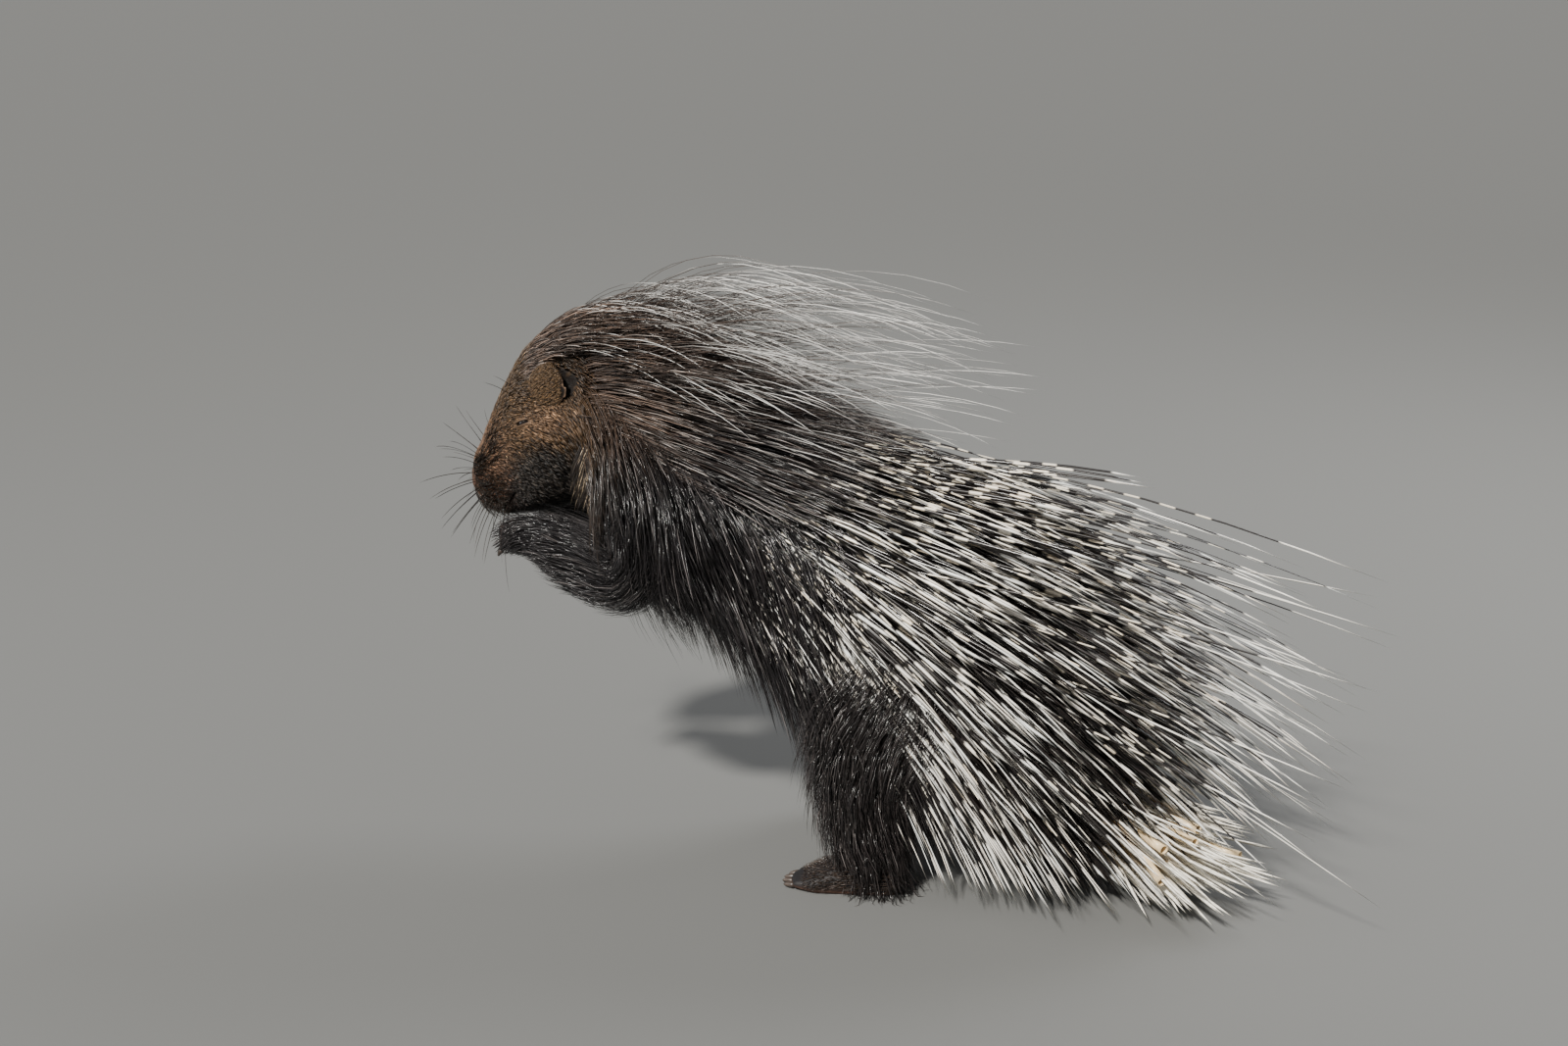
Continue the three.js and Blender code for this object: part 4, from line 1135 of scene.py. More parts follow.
def face_fur(name, arounds, seed):
    rng = np.random.default_rng(seed)
    station, around = spread_roots(trunk, (0.25, 8.1), arounds, 1.25 * MM, seed)
    clear = bare_distance(trunk(station, around))
    kept = clear > 0
    station, around, clear = station[kept], around[kept], clear[kept]
    count = len(station)
    short = np.clip(0.3 + clear / 16, 0.3, 1) * (1 - 0.15 * step_up(np.abs(around), 60, 120))
    length = FUR_LENGTH(station) * rng.uniform(0.65, 1.15, count) * short * MM
    turn = 8 + 30 * np.sin(np.radians(np.abs(around))) * np.clip(station / 4, 0, 1)
    locks = lock_of(station, around, (0.2, 6))
    turn = turn + of_lock(locks, rng, -8, 8) + rng.normal(0, 5, count)
    rise = length * rng.uniform(0.15, 0.5, count)
    paths, out = lying_paths(trunk, station, around, length, turn, rise, 2, 0.0012)
    paths = gather(paths, locks, 0.25)
    paths += COAT_DEPTH(station)[:, None, None] * 0.5 * out[:, None, :]
    widest = FUR_THICK(station) * rng.uniform(0.8, 1.2, count) * MM
    half = taper(count, 2, widest, 0.9, 0.3, 0.5)
    base = markings(paths[:, 0] + rng.normal(0, 2.5 * MM, (count, 3)))
    crown = step_up(station, 2.5, 6.5) * (1 - step_up(np.abs(around), 45, 85))
    grey = np.where(rng.random((count, 1)) < 0.35, 0.16, 0.006) * crown[:, None]
    black_cheek = (base.sum(1, keepdims=True) < 0.05) * np.where(rng.random((count, 1)) < 0.28, 0.3, 0.0)
    black_cheek = black_cheek * rng.uniform(0.2, 1, (count, 1))
    dark = rng.random((count, 1)) < 0.25
    base = np.where(dark, base * 0.25, base)
    tips = base * 1.7 + grey + black_cheek * np.array((1.0, 0.85, 0.7))
    colours = shaded(base, rng, 0.65, tips, rng.uniform(0.1, 0.6, count), 2)
    return grow_coat(name, paths, out, half, half * 0.6, colours, rng, unwrapped("trunk", station, around))


keep_coat(face_fur("face_fur_left", (0, 180), 1), FUR, "face_fur")
keep_coat(face_fur("face_fur_right", (-180, 0), 2), FUR, "face_fur")


# %% Fur of the ears
EAR_HAIRS = 3800


def ear_fur(name, side, seed):
    """Short hair on the outside of the cup and along its rim, pointing up and back."""
    rng = np.random.default_rng(seed)
    centre, spin, _ = ear_frames[side]
    count = EAR_HAIRS
    rise = np.arcsin(rng.uniform(-0.95, 1, count))
    swing = np.radians(rng.uniform(70, 290, count))
    on_ball = np.stack([np.cos(rise) * np.cos(swing), np.cos(rise) * np.sin(swing), np.sin(rise)], -1)
    radii = np.array(EAR["radii"])
    flesh = on_ball * (radii + 0.2)
    kept = flesh[:, 0] < rim_line(flesh[:, 2]) - 0.3
    flesh, out = flesh[kept], unit(on_ball[kept] / radii)
    count = len(flesh)
    lie = unit(np.array([0.8, 0, 0.45]) + rng.normal(0, 0.14, (count, 3)))
    lie = unit(lie - (lie * out).sum(1, keepdims=True) * out * 0.85)
    rim = np.clip((flesh[:, 0] - rim_line(flesh[:, 2]) + 5) / 5, 0, 1)
    length = rng.uniform(4.5, 8.0, count) * (1 - 0.6 * rim) * MM
    roots, out, lie = flesh * MM @ spin.T + centre, out @ spin.T, lie @ spin.T
    paths = free_paths(roots, out, unit(lie + 0.3 * out), unit(lie), length, 2, 0.001)
    half = taper(count, 2, rng.uniform(0.34, 0.48, count) * MM, 0.9, 0.3, 0.5)
    pale = rim**3 * 0.9 * step_up(flesh[:, 2], -14, -4)
    base = blend_in(np.tile(OLIVE_BROWN, (count, 1)) * 1.1, EAR_RIM, pale)
    base = np.where(rng.random((count, 1)) < 0.2, base * 0.3, base)
    colours = shaded(base, rng, 0.6, base * 2.2 + 0.01, rng.uniform(0.1, 0.5, count), 2)
    station, around = face_spot(EAR["s"], EAR["z"], side)
    patch = unwrapped("trunk", np.full(count, station), np.full(count, around))
    patch = patch + flesh[:, [0, 2]] * 0.0004
    return grow_coat(name, paths, out, half, half * 0.6, colours, rng, patch)


keep_coat(ear_fur("ear_fur_left", LEFT, 3), FUR, "face_fur")
keep_coat(ear_fur("ear_fur_right", RIGHT, 4), FUR, "face_fur")


# %% Whiskers
def whiskers():
    """Long stiff dark hairs in rows on both sides of the muzzle."""
    rng = np.random.default_rng(5)
    rows = []
    for side in (LEFT, RIGHT):
        for row in range(6):
            for column in range(5):
                s = -102 + column * 6.5 + rng.uniform(-1, 1)
                z = -42 - row * 7 - column * 2.5 + rng.uniform(-1, 1)
                rise = 58 - 106 * row / 5 + rng.uniform(-9, 9) - column * 4
                swing = side * (180 - HEAD_TURN * side - 26 - column * 11 + rng.uniform(-9, 9))
                rows.append((side, s, z, rise, swing, 104 * rng.uniform(0.5, 1)))
        for i in range(3):
            s, z, rise, swing = -58 + 4 * i, 14 + 3 * i, 62 + 6 * i, side * (150 - 12 * i)
            rows.append((side, s, z, rise, swing, 70 * rng.uniform(0.7, 1)))
    rows = np.array(rows)
    at = np.array([face_spot(s, z, side) for side, s, z, *_ in rows])
    spot = spots(trunk, at[:, 0], at[:, 1])
    start = unit(heading(rows[:, 3], rows[:, 4]) + 0.5 * spot["out"])
    end = heading(rows[:, 3] * 0.5 - 14, rows[:, 4] - rows[:, 0] * 34)
    paths = free_paths(spot["at"], spot["out"], start, end, rows[:, 5] * MM, 9, 0.004)
    half = taper(len(rows), 9, np.full(len(rows), 0.42 * MM), 1, 0.1, 0.3)
    colours = shaded(np.tile((0.02, 0.015, 0.012), (len(rows), 1)), rng, 0.3, steps=9)
    return grow_coat("whiskers", paths, spot["out"], half, half, colours, rng, unwrapped("trunk", *at.T))


keep_coat(whiskers(), BRISTLE, "face_fur")


# %% Short dark bristles of the muzzle
MUZZLE_HAIRS = 620


def muzzle_bristles():
    """They lie back from the nose between the whiskers and give the muzzle its dark lines."""
    rng = np.random.default_rng(6)
    count = MUZZLE_HAIRS
    side = np.where(rng.random(count) < 0.5, 1, -1)
    station = rng.uniform(0.7, 3.6, count)
    around = side * rng.uniform(40, 165, count)
    kept = bare_distance(trunk(station, around)) > 0
    station, around = station[kept], around[kept]
    count = len(station)
    length = rng.uniform(9, 25, count) * MM
    turn = rng.normal(6, 9, count)
    rise = length * rng.uniform(0.1, 0.5, count)
    paths, out = lying_paths(trunk, station, around, length, turn, rise, 3, 0.002)
    half = taper(count, 3, rng.uniform(0.3, 0.46, count) * MM, 1, 0.2, 0.4)
    colours = shaded(np.tile((0.014, 0.010, 0.007), (count, 1)), rng, 0.4, steps=3)
    patch = unwrapped("trunk", station, around)
    return grow_coat("muzzle_bristles", paths, out, half, half * 0.7, colours, rng, patch)


keep_coat(muzzle_bristles(), BRISTLE, "face_fur")

# %% [markdown]
# ## Bristles of neck, shoulders, belly and limbs
# Coarse black bristles lie along the body and curve down over the shoulders and the upper arms.
# They are glossy, and some are grey: partly grey hair, and partly painted highlight that stands for
# the silver sheen of the real coat.
# Neighbours share a little of their lie, which parts it into soft locks. Down the limbs they get
# shorter and finer, and under the belly they hang free.

# %% Bristles that lie along a form
def bristle_colours(base, rng, pale, steps):
    """Mostly dark strands, a share of them grey, all a little lighter along their outer half; the grey
    and the pale ends are partly grey hair and partly painted highlight.
    """
    count = len(base)
    pale = np.broadcast_to(pale, count)[:, None]
    # The grey streaks and pale ends are partly grey hair and partly painted highlight.
    grey = rng.random((count, 1)) < 0.05 + pale * 0.3
    grey_and_sheen_streak = rng.uniform(0.1, 1.2, (count, 1)) * (0.1 + pale)
    body = np.where(grey, base + np.array((0.17, 0.15, 0.142)) * grey_and_sheen_streak, base)
    tips = body * 1.35 + np.array((0.42, 0.39, 0.375)) * pale * rng.uniform(0, 1, (count, 1)) ** 4
    return shaded(body, rng, 0.35, tips, rng.uniform(0.1, 0.5, count), steps)


def lying_bristles(name, form_name, stations, arounds, spacing, seed, length, turn, thick=0.62, rise=0.1,
                   pale=0.3, lock=(0.3, 12), base=None, steps=4, together=0.3, depth=-0.003):
    """length and turn are functions of station and angle; pale lightens streaks and ends, partly
    as painted highlight.
    """
    form = FORMS[form_name]
    rng = np.random.default_rng(seed)
    station, around = spread_roots(form, stations, arounds, spacing * MM, seed)
    kept = bare_distance(form(station, around)) > 1.5 if form_name == "trunk" else np.full(len(station), True)
    station, around = station[kept], around[kept]
    count = len(station)
    size = length(station, around) * rng.uniform(0.7, 1.1, count) * MM
    locks = lock_of(station, around, lock)
    swing = turn(station, around) + of_lock(locks, rng, -7, 7) + rng.normal(0, 3, count)
    lift = rise * size * of_lock(locks, rng, 0.6, 1.5) * rng.uniform(0.5, 1.5, count)
    paths, out = lying_paths(form, station, around, size, swing, lift, steps)
    paths = gather(paths, locks, together)
    inward = COAT_DEPTH(station) if form_name == "trunk" else np.full(count, depth)
    paths += (inward * 0.6)[:, None, None] * out[:, None, :]
    half = taper(count, steps, thick * rng.uniform(0.75, 1.2, count) * MM, 0.8, 0.35, 0.3)
    base = markings(paths[:, 0]) if base is None else np.tile(base, (count, 1))
    pale = pale * step_up(station, 7.3, 8.3) if form_name == "trunk" else pale
    colours = bristle_colours(base, rng, pale, steps)
    return grow_coat(name, paths, out, half, half * 0.7, colours, rng, unwrapped(form_name, station, around))


def by_station(places, values):
    return lambda station, around: np.interp(station, places, values)


def body_turn(station, around):
    """Degrees from straight back towards the belly: steep over the shoulders, less behind them."""
    side = np.interp(np.abs(around), [0, 40, 70, 100, 140, 180], [2, 10, 30, 38, 20, 0])
    return side * np.interp(station, [7.3, 8.0, 8.6, 9.5, 10.8, 12.5], [0.4, 0.7, 1.2, 1.45, 1.15, 0.8])


neck_length = by_station([7.4, 8.2, 9.6], [22, 42, 62])
front_length = by_station([9.2, 10.2, 12.4], [64, 76, 70])
rear_length = by_station([12.2, 14, 15.6], [70, 60, 50])
for word, sign in SIDES:
    one_side = tuple(sorted((0, 180 * sign)))
    keep_coat(lying_bristles(
        "neck_bristles_" + word, "trunk", (7.7, 9.5), one_side, 2.3, 10 + sign,
        neck_length, body_turn, 0.44, 0.2, 0.4, (0.09, 5), steps=3, together=0.12,
    ), BRISTLE, "crest_bristle")
    keep_coat(lying_bristles(
        "body_bristles_" + word, "trunk", (9.3, 12.5), one_side, 4.2, 20 + sign,
        front_length, body_turn, 0.54, 0.16, 0.35, (0.09, 5), together=0.12,
    ), BRISTLE, "black_bristle")
    keep_coat(lying_bristles(
        "rump_bristles_" + word, "trunk", (12.4, 15.7), one_side, 7.5, 24 + sign,
        rear_length, body_turn, 0.7, 0.1, 0.1, (0.2, 11), steps=3,
    ), BRISTLE, "black_bristle")

# %% Long bristles that drape over the upper arms
drape_length = by_station([8.1, 9, 10.9], [42, 72, 78])
chest_length = by_station([7.9, 9, 10.9], [36, 60, 70])
for word, sign in SIDES:
    flank, breast = [tuple(sorted((low * sign, high * sign))) for low, high in ((56, 145), (125, 180))]
    keep_coat(lying_bristles(
        "shoulder_drape_" + word, "trunk", (8.1, 10.9), flank, 3.5, 27 + sign,
        drape_length, body_turn, 0.44, 0.42, 0.4, (0.08, 4), steps=4, together=0.1,
    ), BRISTLE, "black_bristle")
    keep_coat(lying_bristles(
        "chest_bristles_" + word, "trunk", (7.9, 10.9), breast, 4.8, 37 + sign,
        chest_length, lambda s, a: 0 * s, 0.55, 0.42, 0.3, (0.14, 9), steps=3,
    ), BRISTLE, "black_bristle")


# %% Pale hairs at the side of the throat
THROAT_HAIRS = 420


def throat_fan(side):
    """Long pale hairs that spread down from a whorl behind the cheek."""
    rng = np.random.default_rng(47 + side)
    count = THROAT_HAIRS
    middle = np.array(face_spot(14, -27, side))
    turn, far = rng.uniform(0, 2 * math.pi, count), rng.random(count) ** 0.6
    station = middle[0] + 0.55 * far * np.cos(turn)
    around = middle[1] + 15 * far * np.sin(turn)
    spot = spots(trunk, station, around)
    seen = to_face(spot["at"])
    aim = np.clip((seen[:, 0] - 27) * 2.2, -48, 30) + rng.normal(0, 5, count)
    along = heading(-60 + 0.3 * np.abs(aim), np.where(aim < 0, 180 + HEAD_TURN, HEAD_TURN) + 0 * aim)
    start = unit(along * 0.5 + np.array([0, 0, -0.6]) + spot["out"] * 0.5)
    end = heading(-78, np.where(aim < 0, 180.0, 0.0))
    length = rng.uniform(24, 46, count) * MM
    paths = free_paths(spot["at"], spot["out"], start, end, length, 4, 0.003)
    half = taper(count, 4, rng.uniform(0.36, 0.5, count) * MM, 0.8, 0.3, 0.35)
    cream = rng.random(count) < 0.42 - 0.3 * far
    base = np.where(cream[:, None], (0.4, 0.31, 0.21), (0.02, 0.014, 0.011))
    colours = shaded(base, rng, 0.3, base * 0.55, rng.uniform(0, 0.4, count), 4)
    name = "throat_fan_left" if side == LEFT else "throat_fan_right"
    patch = unwrapped("trunk", station, around)
    return grow_coat(name, paths, spot["out"], half, half * 0.7, colours, rng, patch)


for side in (LEFT, RIGHT):
    keep_coat(throat_fan(side), FUR, "crest_bristle")

# %% Limbs and feet
for word, side in SIDES:
    keep_coat(lying_bristles(
        "arm_bristles_" + word, "arm_" + word, (0.05, 1.0), (-180, 180), 3.7, 30 + side,
        by_station([0, 0.4, 0.6, 0.86, 1.0], [58, 44, 30, 13, 8]), lambda s, a: -8 + 0 * s, 0.48, 0.18, 0.3,
        (0.05, 12), COAT_BLACK, 3, 0.12,
    ), BRISTLE, "black_bristle")
    # The legs' greyer base colour is partly painted highlight, for the fine sheen of their hair.
    keep_coat(lying_bristles(
        "leg_bristles_" + word, "leg_" + word, (0.03, 1.0), (-180, 180), 3.7, 40 + side,
        by_station([0, 0.3, 0.55, 0.8, 1.0], [56, 48, 42, 44, 42]), lambda s, a: -8 + 6 * s, 0.46, 0.3, 0.3,
        (0.04, 9), (0.015, 0.012, 0.0115), 3, 0.12,
    ), BRISTLE, "black_bristle")
    keep_coat(lying_bristles(
        "foot_fur_" + word, "foot_" + word, (0.02, 0.99), (78, 282), 2.3, 44 + side,
        by_station([0, 0.15, 0.4, 0.9], [24, 20, 11, 6]), lambda s, a: 0 * s, 0.42, 0.3, 0.25,
        (0.1, 30), (0.026, 0.017, 0.012), 2, 0.2, -0.0004,
    ), BRISTLE, "foot_skin")


# %% Hair that hangs from the belly
BELLY_HAIRS = 2800


def belly_fringe():
    rng = np.random.default_rng(48)
    count = BELLY_HAIRS
    station = 13.9 - 3.6 * rng.random(count) ** 1.3
    around = rng.uniform(112, 180, count) * rng.choice((-1, 1), count)
    spot = spots(trunk, station, around)
    start = unit(spot["back"] * 0.9 + spot["out"] * 0.55)
    end = heading(rng.normal(-72, 6, count), rng.normal(0, 14, count))
    scale = np.interp(station, [10.3, 11.6, 12.4, 13.5], [0.8, 1.1, 1.35, 1.3])
    length = rng.uniform(48, 84, count) * scale * MM
    length = np.minimum(length, spot["at"][:, 2] * 0.8)
    paths = free_paths(spot["at"], spot["out"], start, end, length, 4)
    paths = gather(paths, lock_of(station, around, (0.2, 11)), 0.4)
    half = taper(count, 4, rng.uniform(0.5, 0.75, count) * MM, 0.8, 0.3, 0.3)
    colours = bristle_colours(np.tile(COAT_BLACK, (count, 1)), rng, 0.35, 4)
    return grow_coat("belly_fringe", paths, spot["out"], half, half * 0.7, colours, rng,
                     unwrapped("trunk", station, around))


keep_coat(belly_fringe(), BRISTLE, "black_bristle")

# %% [markdown]
# ## The crest
# The mane of head, neck and shoulders has two layers. Dense dark bristles lie back over the neck,
# from level on its sides to steep on the crown. Out of them rise about six hundred long springy ones,
# dark below and white in their outer half, which bend over in loose arcs.

# %% Mane
MANE_WIDTH = along([5.6, 6.6, 7.4, 8.0, 8.6, 9.6, 11.6], [50, 62, 76, 92, 98, 84, 62])
MANE_LENGTH = along([5.6, 6.2, 7, 8.2, 9.4, 10.6, 11.6], [24, 40, 74, 118, 150, 165, 150])
MANE_RISE = along([5.6, 7, 8.2, 9.2, 10.4, 11.6], [54, 47, 30, 14, 2, -5])
MANE_SIDE = along([5.6, 7, 8.2, 9.2, 10.4, 11.6], [30, 8, -4, -10, -16, -20])
MANE_ROOT = np.array((0.03, 0.021, 0.016))


def mane(name, stations, count, seed):
    rng = np.random.default_rng(seed)
    station = rng.uniform(*stations, count)
    around = MANE_WIDTH(station) * rng.uniform(-1, 1, count)
    seen = to_face(trunk(station, around))
    over_ear = (np.abs(seen[:, 0] - EAR["s"] + 10) < 34) & (np.abs(seen[:, 2] - EAR["z"]) < 24)
    kept = (bare_distance(trunk(station, around)) > 1.5) & ~(over_ear & (np.abs(around) > 42))
    station, around = station[kept], around[kept]
    count = len(station)
    locks = lock_of(station, around, (0.16, 7))
    upright = np.maximum(0, np.cos(np.radians(around))) ** 0.8
    first = MANE_RISE(station) * upright + MANE_SIDE(station) * (1 - upright)
    first = first + rng.normal(0, 4, count) + of_lock(locks, rng, -4, 4)
    last = first * 0.25 - 16 + rng.normal(0, 4, count) - 10 * (1 - upright)
    swing = np.sin(np.radians(around)) * 14 + HEAD_TURN * step_up(-station, -8.6, -7) * 0.8
    swing = swing + rng.normal(0, 3, count) + of_lock(locks, rng, -4, 4)
    size = MANE_LENGTH(station) * rng.uniform(0.55, 1.1, count) * (1 - 0.3 * (1 - upright)) * MM
    spot = spots(trunk, station, around)
    start = unit(heading(first, swing) + 0.12 * spot["out"])
    paths = free_paths(spot["at"], spot["out"], start, heading(last, swing * 0.6), size, 5, 0.008)
    paths = gather(paths, locks, 0.4)
    half = taper(count, 5, rng.uniform(0.42, 0.65, count) * MM, 0.75, 0.4, 0.35)
    to_black = step_up(station, 8.6, 10.6)[:, None]
    base = MANE_ROOT * (1 - to_black) + np.array(COAT_BLACK) * to_black
    brown = base + np.array((0.13, 0.088, 0.066)) * rng.random((count, 1)) ** 2.5 * (1 - 0.7 * to_black)
    pale = (rng.random((count, 1)) < 0.3) * rng.uniform(0.3, 1, (count, 1))
    tips = brown * 1.3 + np.array((0.42, 0.38, 0.35)) * pale
    colours = shaded(brown, rng, 0.4, tips, rng.uniform(0.05, 0.6, count), 5)
    return grow_coat(name, paths, spot["out"], half, half, colours, rng, unwrapped("trunk", station, around))


keep_coat(mane("mane_head", (5.6, 8.2), 2900, 55), CREST, "crest_bristle")
keep_coat(mane("mane_neck", (8.2, 11.6), 3000, 56), CREST, "crest_bristle")

# %% Long white-ended bristles
CREST_RISE = along([6.4, 7, 8.2, 9.2, 10.2, 11.4], [56, 54, 56, 48, 36, 20])
CREST_DROP = along([6.4, 7, 8.2, 9.2, 10.2, 11.4], [-4, -16, -32, -28, -20, -12])
CREST_LENGTH = along([6.4, 7, 7.8, 8.4, 9.4, 10.4, 11.2], [70, 130, 210, 325, 405, 365, 285])
CREST_WIDTH = along([6.4, 7.6, 8.3, 9.4, 11.4], [30, 46, 58, 54, 42])


def crest(name, stations, count, seed):
    rng = np.random.default_rng(seed)
    station = rng.uniform(*stations, count)
    around = CREST_WIDTH(station) * np.clip(rng.normal(0, 0.55, count), -1, 1)
    swing = around * 0.32 + rng.normal(0, 4, count)
    low = rng.random(count) ** 1.6
    rise = (CREST_RISE(station) - np.abs(around) * 0.42) * (1 - 0.5 * low) + rng.normal(0, 3, count)
    drop = CREST_DROP(station) - np.abs(around) * 0.12 + rng.normal(0, 6, count) + 8 * low
    size = CREST_LENGTH(station) * rng.uniform(0.5, 1.04, count) * (1 - np.abs(around) / 260) * MM
    spot = spots(trunk, station, around)
    start = unit(heading(rise, swing) + 0.1 * spot["out"])
    paths = free_paths(spot["at"], spot["out"], start, heading(drop, swing * 0.4), size, 9, 0.008)
    half = taper(count, 9, rng.uniform(0.38, 0.52, count) * MM, 0.8, 0.3, 0.5)
    base = np.tile((0.035, 0.025, 0.02), (count, 1))
    tips = np.array((0.86, 0.84, 0.8)) * rng.uniform(0.4, 1.1, (count, 1))
    colours = shaded(base, rng, 0.3, tips, rng.uniform(0.25, 0.65, count), 9)
    return grow_coat(name, paths, spot["out"], half, half, colours, rng, unwrapped("trunk", station, around))


keep_coat(crest("crest_head", (6.4, 8.1), 240, 50), CREST, "crest_bristle")
keep_coat(crest("crest_neck", (8.1, 9.7), 260, 51), CREST, "crest_bristle")
keep_coat(crest("crest_shoulders", (9.7, 11.3), 110, 52), CREST, "crest_bristle")

# %% [markdown]
# ## Quills
# The quills of back, flanks and rump are smooth, stiff and ringed black and cream, some slender and
# as long as a forearm, some stout and half as long. Those of the back lie level, those of the
# flanks point down and back, and all taper to a point. A few stray ones reach out past the rest.
# The rings are a pattern along each quill, counted from its tip: a white end, a long black stretch,
# then short cream and black rings.

# %% Material of ringed quills
RING_EDGE = 0.03  # half the soft edge of a ring, as a share of a pair of rings
WHITE_EDGE = (0.002, -0.002)  # metres past the white end, from none of it to all


def quill_material(name, tip, black, ring, cream_share):
    """Lengths in metres: shortest and longest white end, black stretch, and one pair of rings."""
    material = plain_material(name, (0.8, 0.74, 0.62), 0.3)
    tree, shader = shader_of(material)
    shader.inputs["Coat Weight"].default_value = 0.3
    shader.inputs["Coat Roughness"].default_value = 0.15
    strand = attribute_colour(tree, "strand")
    parts = tree.nodes.new("ShaderNodeSeparateXYZ")
    tree.links.new(strand.outputs["Vector"], parts.inputs["Vector"])
    own, _, from_tip = parts.outputs
    end = maths(tree, "MULTIPLY_ADD", own, tip[1] - tip[0], tip[0])
    inward = maths(tree, "SUBTRACT", from_tip, end)
    other = maths(tree, "FRACT", maths(tree, "MULTIPLY", own, 13.7))
    stretch = maths(tree, "MULTIPLY_ADD", other, 0.5, 0.8)
    beyond = maths(tree, "SUBTRACT", inward, black)
    rings = maths(tree, "DIVIDE", beyond, maths(tree, "MULTIPLY", stretch, ring))
    in_ring = maths(tree, "ABSOLUTE", maths(tree, "SUBTRACT", maths(tree, "FRACT", rings), 0.5))
    cream = span(tree, in_ring, (cream_share / 2 + RING_EDGE, cream_share / 2 - RING_EDGE))
    ringed = maths(tree, "MULTIPLY", cream, maths(tree, "GREATER_THAN", rings, 0.0))
    dark_or_cream = blend_node(tree, "MIX", ringed, QUILL_BLACK, CREAM)
    with_end = blend_node(tree, "MIX", span(tree, inward, WHITE_EDGE), dark_or_cream, QUILL_WHITE)
    tint = attribute_colour(tree, "tint").outputs["Color"]
    tinted = blend_node(tree, "MULTIPLY", 1.0, with_end, tint)
    tree.links.new(tinted, shader.inputs["Base Color"])
    return material


CREAM = (0.84, 0.76, 0.62, 1)
QUILL_WHITE = (0.88, 0.85, 0.78, 1)
QUILL_BLACK = (0.013, 0.010, 0.009, 1)
LONG_RINGED = quill_material("long_banded_quill", (0.04, 0.11), 0.055, 0.034, 0.42)
STOUT_RINGED = quill_material("stout_banded_quill", (0.015, 0.055), 0.042, 0.036, 0.37)
SHORT_RINGED = quill_material("short_banded_quill", (0.004, 0.014), 0.02, 0.031, 0.36)
FLANK_RINGED = quill_material("flank_banded_quill", (0.03, 0.1), 0.03, 0.034, 0.5)
TAIL_QUILL = strand_material("white_quill", 0.3, 0.5)

# %% Lie and length of the quills, read from the photo at stations of the trunk
LEVEL = along([11.4, 12.2, 13, 14, 15.4], [-6, -3, 4, 13, 27])
SLOPE = along([11.4, 13, 15.4], [36, 40, 38])
TOP_LENGTH = along([11.4, 12, 12.8, 13.6, 14.4, 15.4], [300, 390, 410, 360, 300, 215])
SIDE_LENGTH = along([11.4, 12.2, 13, 14, 15.4], [70, 115, 175, 225, 215])
FLARE = along([11.4, 13, 15.4], [16, 15, 20])
REACH_BACK = 0.505  # metres behind the origin, which no long quill passes
print("quills of the back at station 13:", TOP_LENGTH(13), "mm long,", LEVEL(13), "degrees down")


# %% Quills of the body
def body_quills(name, stations, reach, spacing, seed, size, stout, radius, colours_of, skew=1.0,
                fall_more=0.0, steps=7, together=0.5, from_side=0, thin_rear=0.0, thin_top=0.0,
                strays=0.0):
    """Quills over the back and flanks, stout ones shorter and straighter."""
    rng = np.random.default_rng(seed)
    station, around = spread_roots(trunk, stations, (-reach, reach), spacing * MM, seed)
    behind = step_up(station, 13.2, 14.2) * step_up(np.abs(around), 38, 58)
    upper = 1 - step_up(np.abs(around), 30, 55)
    kept = (np.abs(around) >= from_side) & (rng.random(len(station)) > thin_rear * behind + thin_top * upper)
    station, around, behind = station[kept], around[kept], behind[kept]
    count = len(station)
    lift = np.cos(np.radians(around))
    top = np.maximum(0, lift) ** 0.7
    length = SIDE_LENGTH(station) * (1 - top) + TOP_LENGTH(station) * top
    length = length * (size[0] + (size[1] - size[0]) * rng.random(count) ** skew) * MM
    length = length * (1 - 0.2 * bell(np.abs(around) - 58, 22) - 0.22 * behind)
    length = length * np.where(rng.random(count) < strays, 1.6, 1)
    length = np.minimum(length, (REACH_BACK - trunk(station, around)[:, 0]) / 0.99)
    locks = lock_of(station, around, (0.4, 14))
    fall = SLOPE(station) * (1 - top) + LEVEL(station) * top - np.minimum(0, lift) * 22
    fall = fall + rng.normal(fall_more, 2.5, count) + of_lock(locks, rng, -3, 3)
    swing = np.sin(np.radians(around)) * FLARE(station) + rng.normal(0, 2.5, count)
    swing = swing + of_lock(locks, rng, -3, 3)
    bend = np.where(stout, 2 + 12 * top, 9 + 17 * top) + rng.normal(0, 2, count)
    spot = spots(trunk, station, around)
    steep = np.sin(np.radians(np.maximum(5, fall + bend)))
    length = np.minimum(length, np.maximum(0.02, (spot["at"][:, 2] - 4 * MM) / steep))
    start, end = heading(-fall, swing), heading(-fall - bend, swing * 0.8)
    roots = spot["at"] - spot["out"] * 0.004
    paths = free_paths(roots, spot["out"], start, end, length, steps, 0.006)
    paths = gather(paths, locks, together)
    root, tip = (0.4, 0.55) if stout else (0.3, 0.45)
    half = taper(count, steps, rng.uniform(*radius, count) * MM, 0.6, root, tip)
    colours = colours_of(rng, count, steps)
    return grow_coat(name, paths, spot["out"], half, half, colours, rng, unwrapped("trunk", station, around))


# %% Grow the quills, of each kind once
def even_tint(low, high):
    """Quills a little lighter or darker, warmer or cooler, than their material."""
    def colours_of(rng, count, steps):
        light = rng.uniform(low, high, (count, 1, 1))
        warm = rng.uniform(-0.05, 0.05, (count, 1, 1)) * np.array([1, 0, -1])
        return np.tile(light, (1, steps + 1, 3)) + warm
    return colours_of


def dark_tint(rng, count, steps):
    """Quills that are black all along."""
    return shaded(np.tile(QUILL_BLACK[:3], (count, 1)), rng, 0.3, steps=steps)


